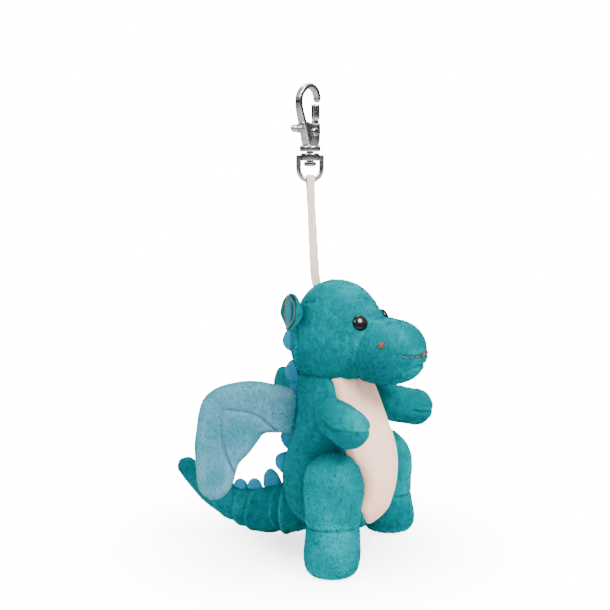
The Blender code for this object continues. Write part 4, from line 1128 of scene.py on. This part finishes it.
from_rim = 1.9 * np.sqrt(-np.log(np.maximum(near(flat3, outline, 1.9), 1e-12)))  # distance to the outline
puff = np.sqrt(np.clip(1 - (1 - np.clip(from_rim / 3.2, 0, 1)) ** 2, 0, 1))
line_sewn, dip = near(flat3, quilting, 0.42), near(flat3, quilting, 2.2)
inner = np.clip(1 - np.hypot((flat[..., 0] - 17.5) / 8.0, (flat[..., 1] - 41.0) / 8.0), 0, 1) ** 0.6
# The left wing is twisted: its top hangs back, its tip forward.
lifted = np.clip((flat[..., 1] - 30.0) / 22.0, 0, 1)
for side, label in ((-1, "right"), (1, "left")):
    spread = WING_SPREADS[side]
    along_wing = np.array((side * math.sin(spread), math.cos(spread), 0))
    through = np.array((side * math.cos(spread), -math.sin(spread), 0))
    wrinkle = 0.10 * swell(flat3, 9.0, 100 + side) + 0.05 * swell(flat3, 4.0, 101 + side)
    pucker = 0.12 * swell(flat3 * (0.6, 1.4, 1), 5.0, 105 + side) * dip
    bow = (
        0.12 * swell(flat3, 40.0, 103 + side)
        + (side > 0) * (2.6 - 6.0 * lifted) * np.clip(flat[..., 0] / 16.0, 0, 1)
    )
    middle = (
        WING_ROOT * (side, 1, 1) + flat[..., :1] * along_wing + flat[..., 1:] * Z + bow[..., None] * through
    )
    cloths_of_wing = (
        ("front", 1, LIGHT_BLUE, "light_plush", 110, [f"wing_wadding_{label}"]),
        ("back", -1, TURQUOISE, "plush", 114, []),
    )
    for name, face, material, slot, seed, wadding in cloths_of_wing:
        lift = (
            WING_PUFF * puff * (1 - 0.38 * dip - 0.35 * line_sewn - 0.30 * inner)
            + (wrinkle + pucker) * puff
        )
        # Pinched at the root.
        lift = np.clip(lift, 0.05, None) * np.clip((flat[..., 0] + 2.5) / 10.5, 0.2, 1) - 0.12
        sides = [middle + (face * height)[..., None] * through
            for height in (lift, np.full(lift.shape, 0.04))]
        cloths = np.concatenate([sides[0], sides[1][:, ::-1]], 1)
        # Painted light: painted highlight on the puff inside the rim and beside the quilting, and painted
        # shade along the quilted lines and in the wing's hollow.
        pale = 0.22 * dip + 0.3 * bell(from_rim - 2.4, 1.6) - 0.25 * inner - 0.9 * line_sewn
        wing = grid_object(f"wing_cloth_{name}_{label}", cloths, material,
            light=np.concatenate([pale, pale[:, ::-1]], 1))
        add_pile(wing, seed + side, lie=(0, 0.5, -0.7), length=0.5, per_mm2=5.0, lean=0.9)
        dress(wing, f"wing_{label}", slot, f"wing_{name}_{label}", *wadding, fill=0.3)


# Scallops. Ten half-round pads of blue plush down the mid-line, sewn on by their straight edge: two behind
# the head, four on the back and four along the tail, the last three low and long.
SCALLOP_BLUE = plush_finish("blue scallop plush", (0.014, 0.20, 0.36), (0.07, 0.34, 0.50),
    (0.006, 0.12, 0.23), (0.010, 0.18, 0.31), (0.4, 0.8, 1.0))


def scallop(foot, way, half_base, height, half_thick=1.5):
    """A half disc standing on its foot, its thickness rounded off towards the edge as half an ellipse."""
    way = unit(way)
    base = np.cross(X, way)
    arc = np.concatenate([np.linspace(0, np.pi, 44), np.linspace(np.pi, 2 * np.pi, 16)[1:-1]])
    u, v = half_base * np.cos(arc), np.where(arc <= np.pi, height * np.sin(arc), 0.5 * np.sin(arc))
    level = np.linspace(-np.pi / 2, np.pi / 2, 19)[:, None, None]
    size = np.maximum(np.cos(level), 0.02) ** 0.55
    return foot + size * (u[None, :, None] * base + v[None, :, None] * way) + X * half_thick * np.sin(level)


spots, rings = [], smooth(TORSO_RINGS, 11)
point, way = on_head(np.array((0, 30.0, 73.5)))
spots.append((point + way * 1.5, way, 4.4, 5.4, "plush"))
way = unit((0, 1, -0.25))
spots.append((np.array((0, 24.8, 62.8)) + way * 0.7, way, 4.4, 5.4, "plush"))
for height in (54.5, 45.8, 36.9, 28.0):
    level = [rings[int(np.argmin(np.abs(rings[:, 0] - height - step)))] for step in (-3, 0, 3)]
    way = unit((0, level[2][0] - level[0][0], level[0][1] + level[0][2] - level[2][1] - level[2][2]))
    spots.append((np.array((0, level[1][1] + level[1][2], height)) + way * 0.7, way, 4.2, 5.0, "plush"))
line = smooth(TAIL_LINE, 8)
for behind, tall, half_base in ((34.4, 5.4, 3.7), (43.4, 3.0, 3.2), (51.4, 2.6, 2.8), (58.2, 2.3, 2.6)):
    i = int(np.argmin(np.abs(line[:, 0] - behind)))
    run_way = unit((0, *(line[i + 1] - line[i - 1])[:2]))
    way = np.cross(X, run_way)
    foot = np.array((0, *line[i, :2])) + way * (line[i, 2] + 0.25)
    spots.append((foot, way, half_base, tall + 0.7, "tail"))
for number, (foot, way, half_base, tall, body) in enumerate(spots, start=1):
    grid = scallop(foot, way, half_base, tall)
    middle = foot + way * tall * 0.4
    grid = grid + unit(grid - middle) * (0.16 * swell(grid, 4.0, 130 + number))[..., None]
    pad = grid_object(f"scallop_{number:02d}", grid, SCALLOP_BLUE)
    add_pile(pad, 140 + number, lie=-way, length=0.5)
    dress(pad, body, "scallop_plush", f"spine_{number:02d}", fill=0.7)


# The floor and the light. A pale floor that lifts to white away from the dragon, three soft lamps, and a
# studio that is white above and dark round the sides, so that metal and eyes have something to mirror.
WHITE_OUT = 20.0  # how strongly the floor and the studio glow where the camera sees them straight
GLOW_FROM_TO, GLOW_LEAST = (0.01, 0.13), 0.11  # metres from the dragon's middle, and the share of glow there


def stage_finish():
    """A pale floor that glows white further out, for the camera only, and looks darker in reflections."""
    made = Finish("pale studio floor", 0.9, Specular_IOR_Level=0.1, Emission_Strength=WHITE_OUT)
    grain = made.noise(made.where, 14.0, 3.0)
    pale = made.mix(made.span(grain, 0.3, 0.7), (0.90, 0.90, 0.90), (0.93, 0.93, 0.93))
    path = made.node("ShaderNodeLightPath").outputs
    made.drive(Base_Color=made.mix(path["Is Glossy Ray"], pale, (0.36, 0.36, 0.37)))
    across_floor = {0: made.where, 1: (1.0, 1.0, 0.0)}
    level = made.node("ShaderNodeVectorMath", across_floor, operation="MULTIPLY").outputs["Vector"]
    reach = made.node("ShaderNodeVectorMath", {0: level}, operation="LENGTH").outputs["Value"]
    glow = made.times(made.span(reach, *GLOW_FROM_TO, GLOW_LEAST, 1.0), path["Is Camera Ray"])
    made.drive(Emission_Color=made.mix(glow, (0.0, 0.0, 0.0), (1.0, 1.0, 1.0)))
    return made.material


FLOOR_Z, FLOOR_REACH, FLOOR_RINGS = -0.6, 6000.0, 24
rim = 2 * np.pi * np.arange(64) / 64
radii = FLOOR_REACH * (np.arange(1, FLOOR_RINGS + 1)[:, None] / FLOOR_RINGS) ** 2
floor_grid = np.stack([radii * np.cos(rim), radii * np.sin(rim), np.full((FLOOR_RINGS, 64), FLOOR_Z)], -1)
floor = grid_object("floor", floor_grid, stage_finish(), caps=(True, False))


def lamp(name, azimuth, elevation, distance, size, power):
    """A soft round lamp that looks at the dragon's middle."""
    way = compass(azimuth, elevation)
    light = bpy.data.lights.new(name, "AREA")
    light.shape, light.size, light.energy = "DISK", size, power
    made = bpy.data.objects.new(name, light)
    made.location = place((0, 20, 70)) + way * distance
    made.rotation_euler = Vector(-way).to_track_quat("-Z", "Y").to_euler()
    bpy.context.scene.collection.objects.link(made)


lamp("key lamp", -24, 47, 0.9, 0.5, 19.0)
lamp("fill lamp", -115, 40, 1.0, 0.6, 6.5)
lamp("back lamp", 130, 55, 1.0, 0.6, 7.0)
world = bpy.data.worlds.new("studio")
world.use_nodes = True
studio = Wiring(world.node_tree)
seen = world.node_tree.nodes["Background"]
way = studio.node("ShaderNodeTexCoord").outputs["Object"]
height = studio.node("ShaderNodeSeparateXYZ", {"Vector": way}).outputs["Z"]
walls = studio.mix(studio.span(height, 0.08, 0.42), (0.05, 0.05, 0.055), (1.0, 1.0, 1.0))
from_camera = studio.node("ShaderNodeLightPath").outputs["Is Camera Ray"]
studio.join(seen.inputs["Color"], studio.mix(from_camera, walls, (1.0, 1.0, 1.0)))
studio.join(seen.inputs["Strength"], studio.span(from_camera, 0.0, 1.0, 0.9, WHITE_OUT))
bpy.context.scene.world = world
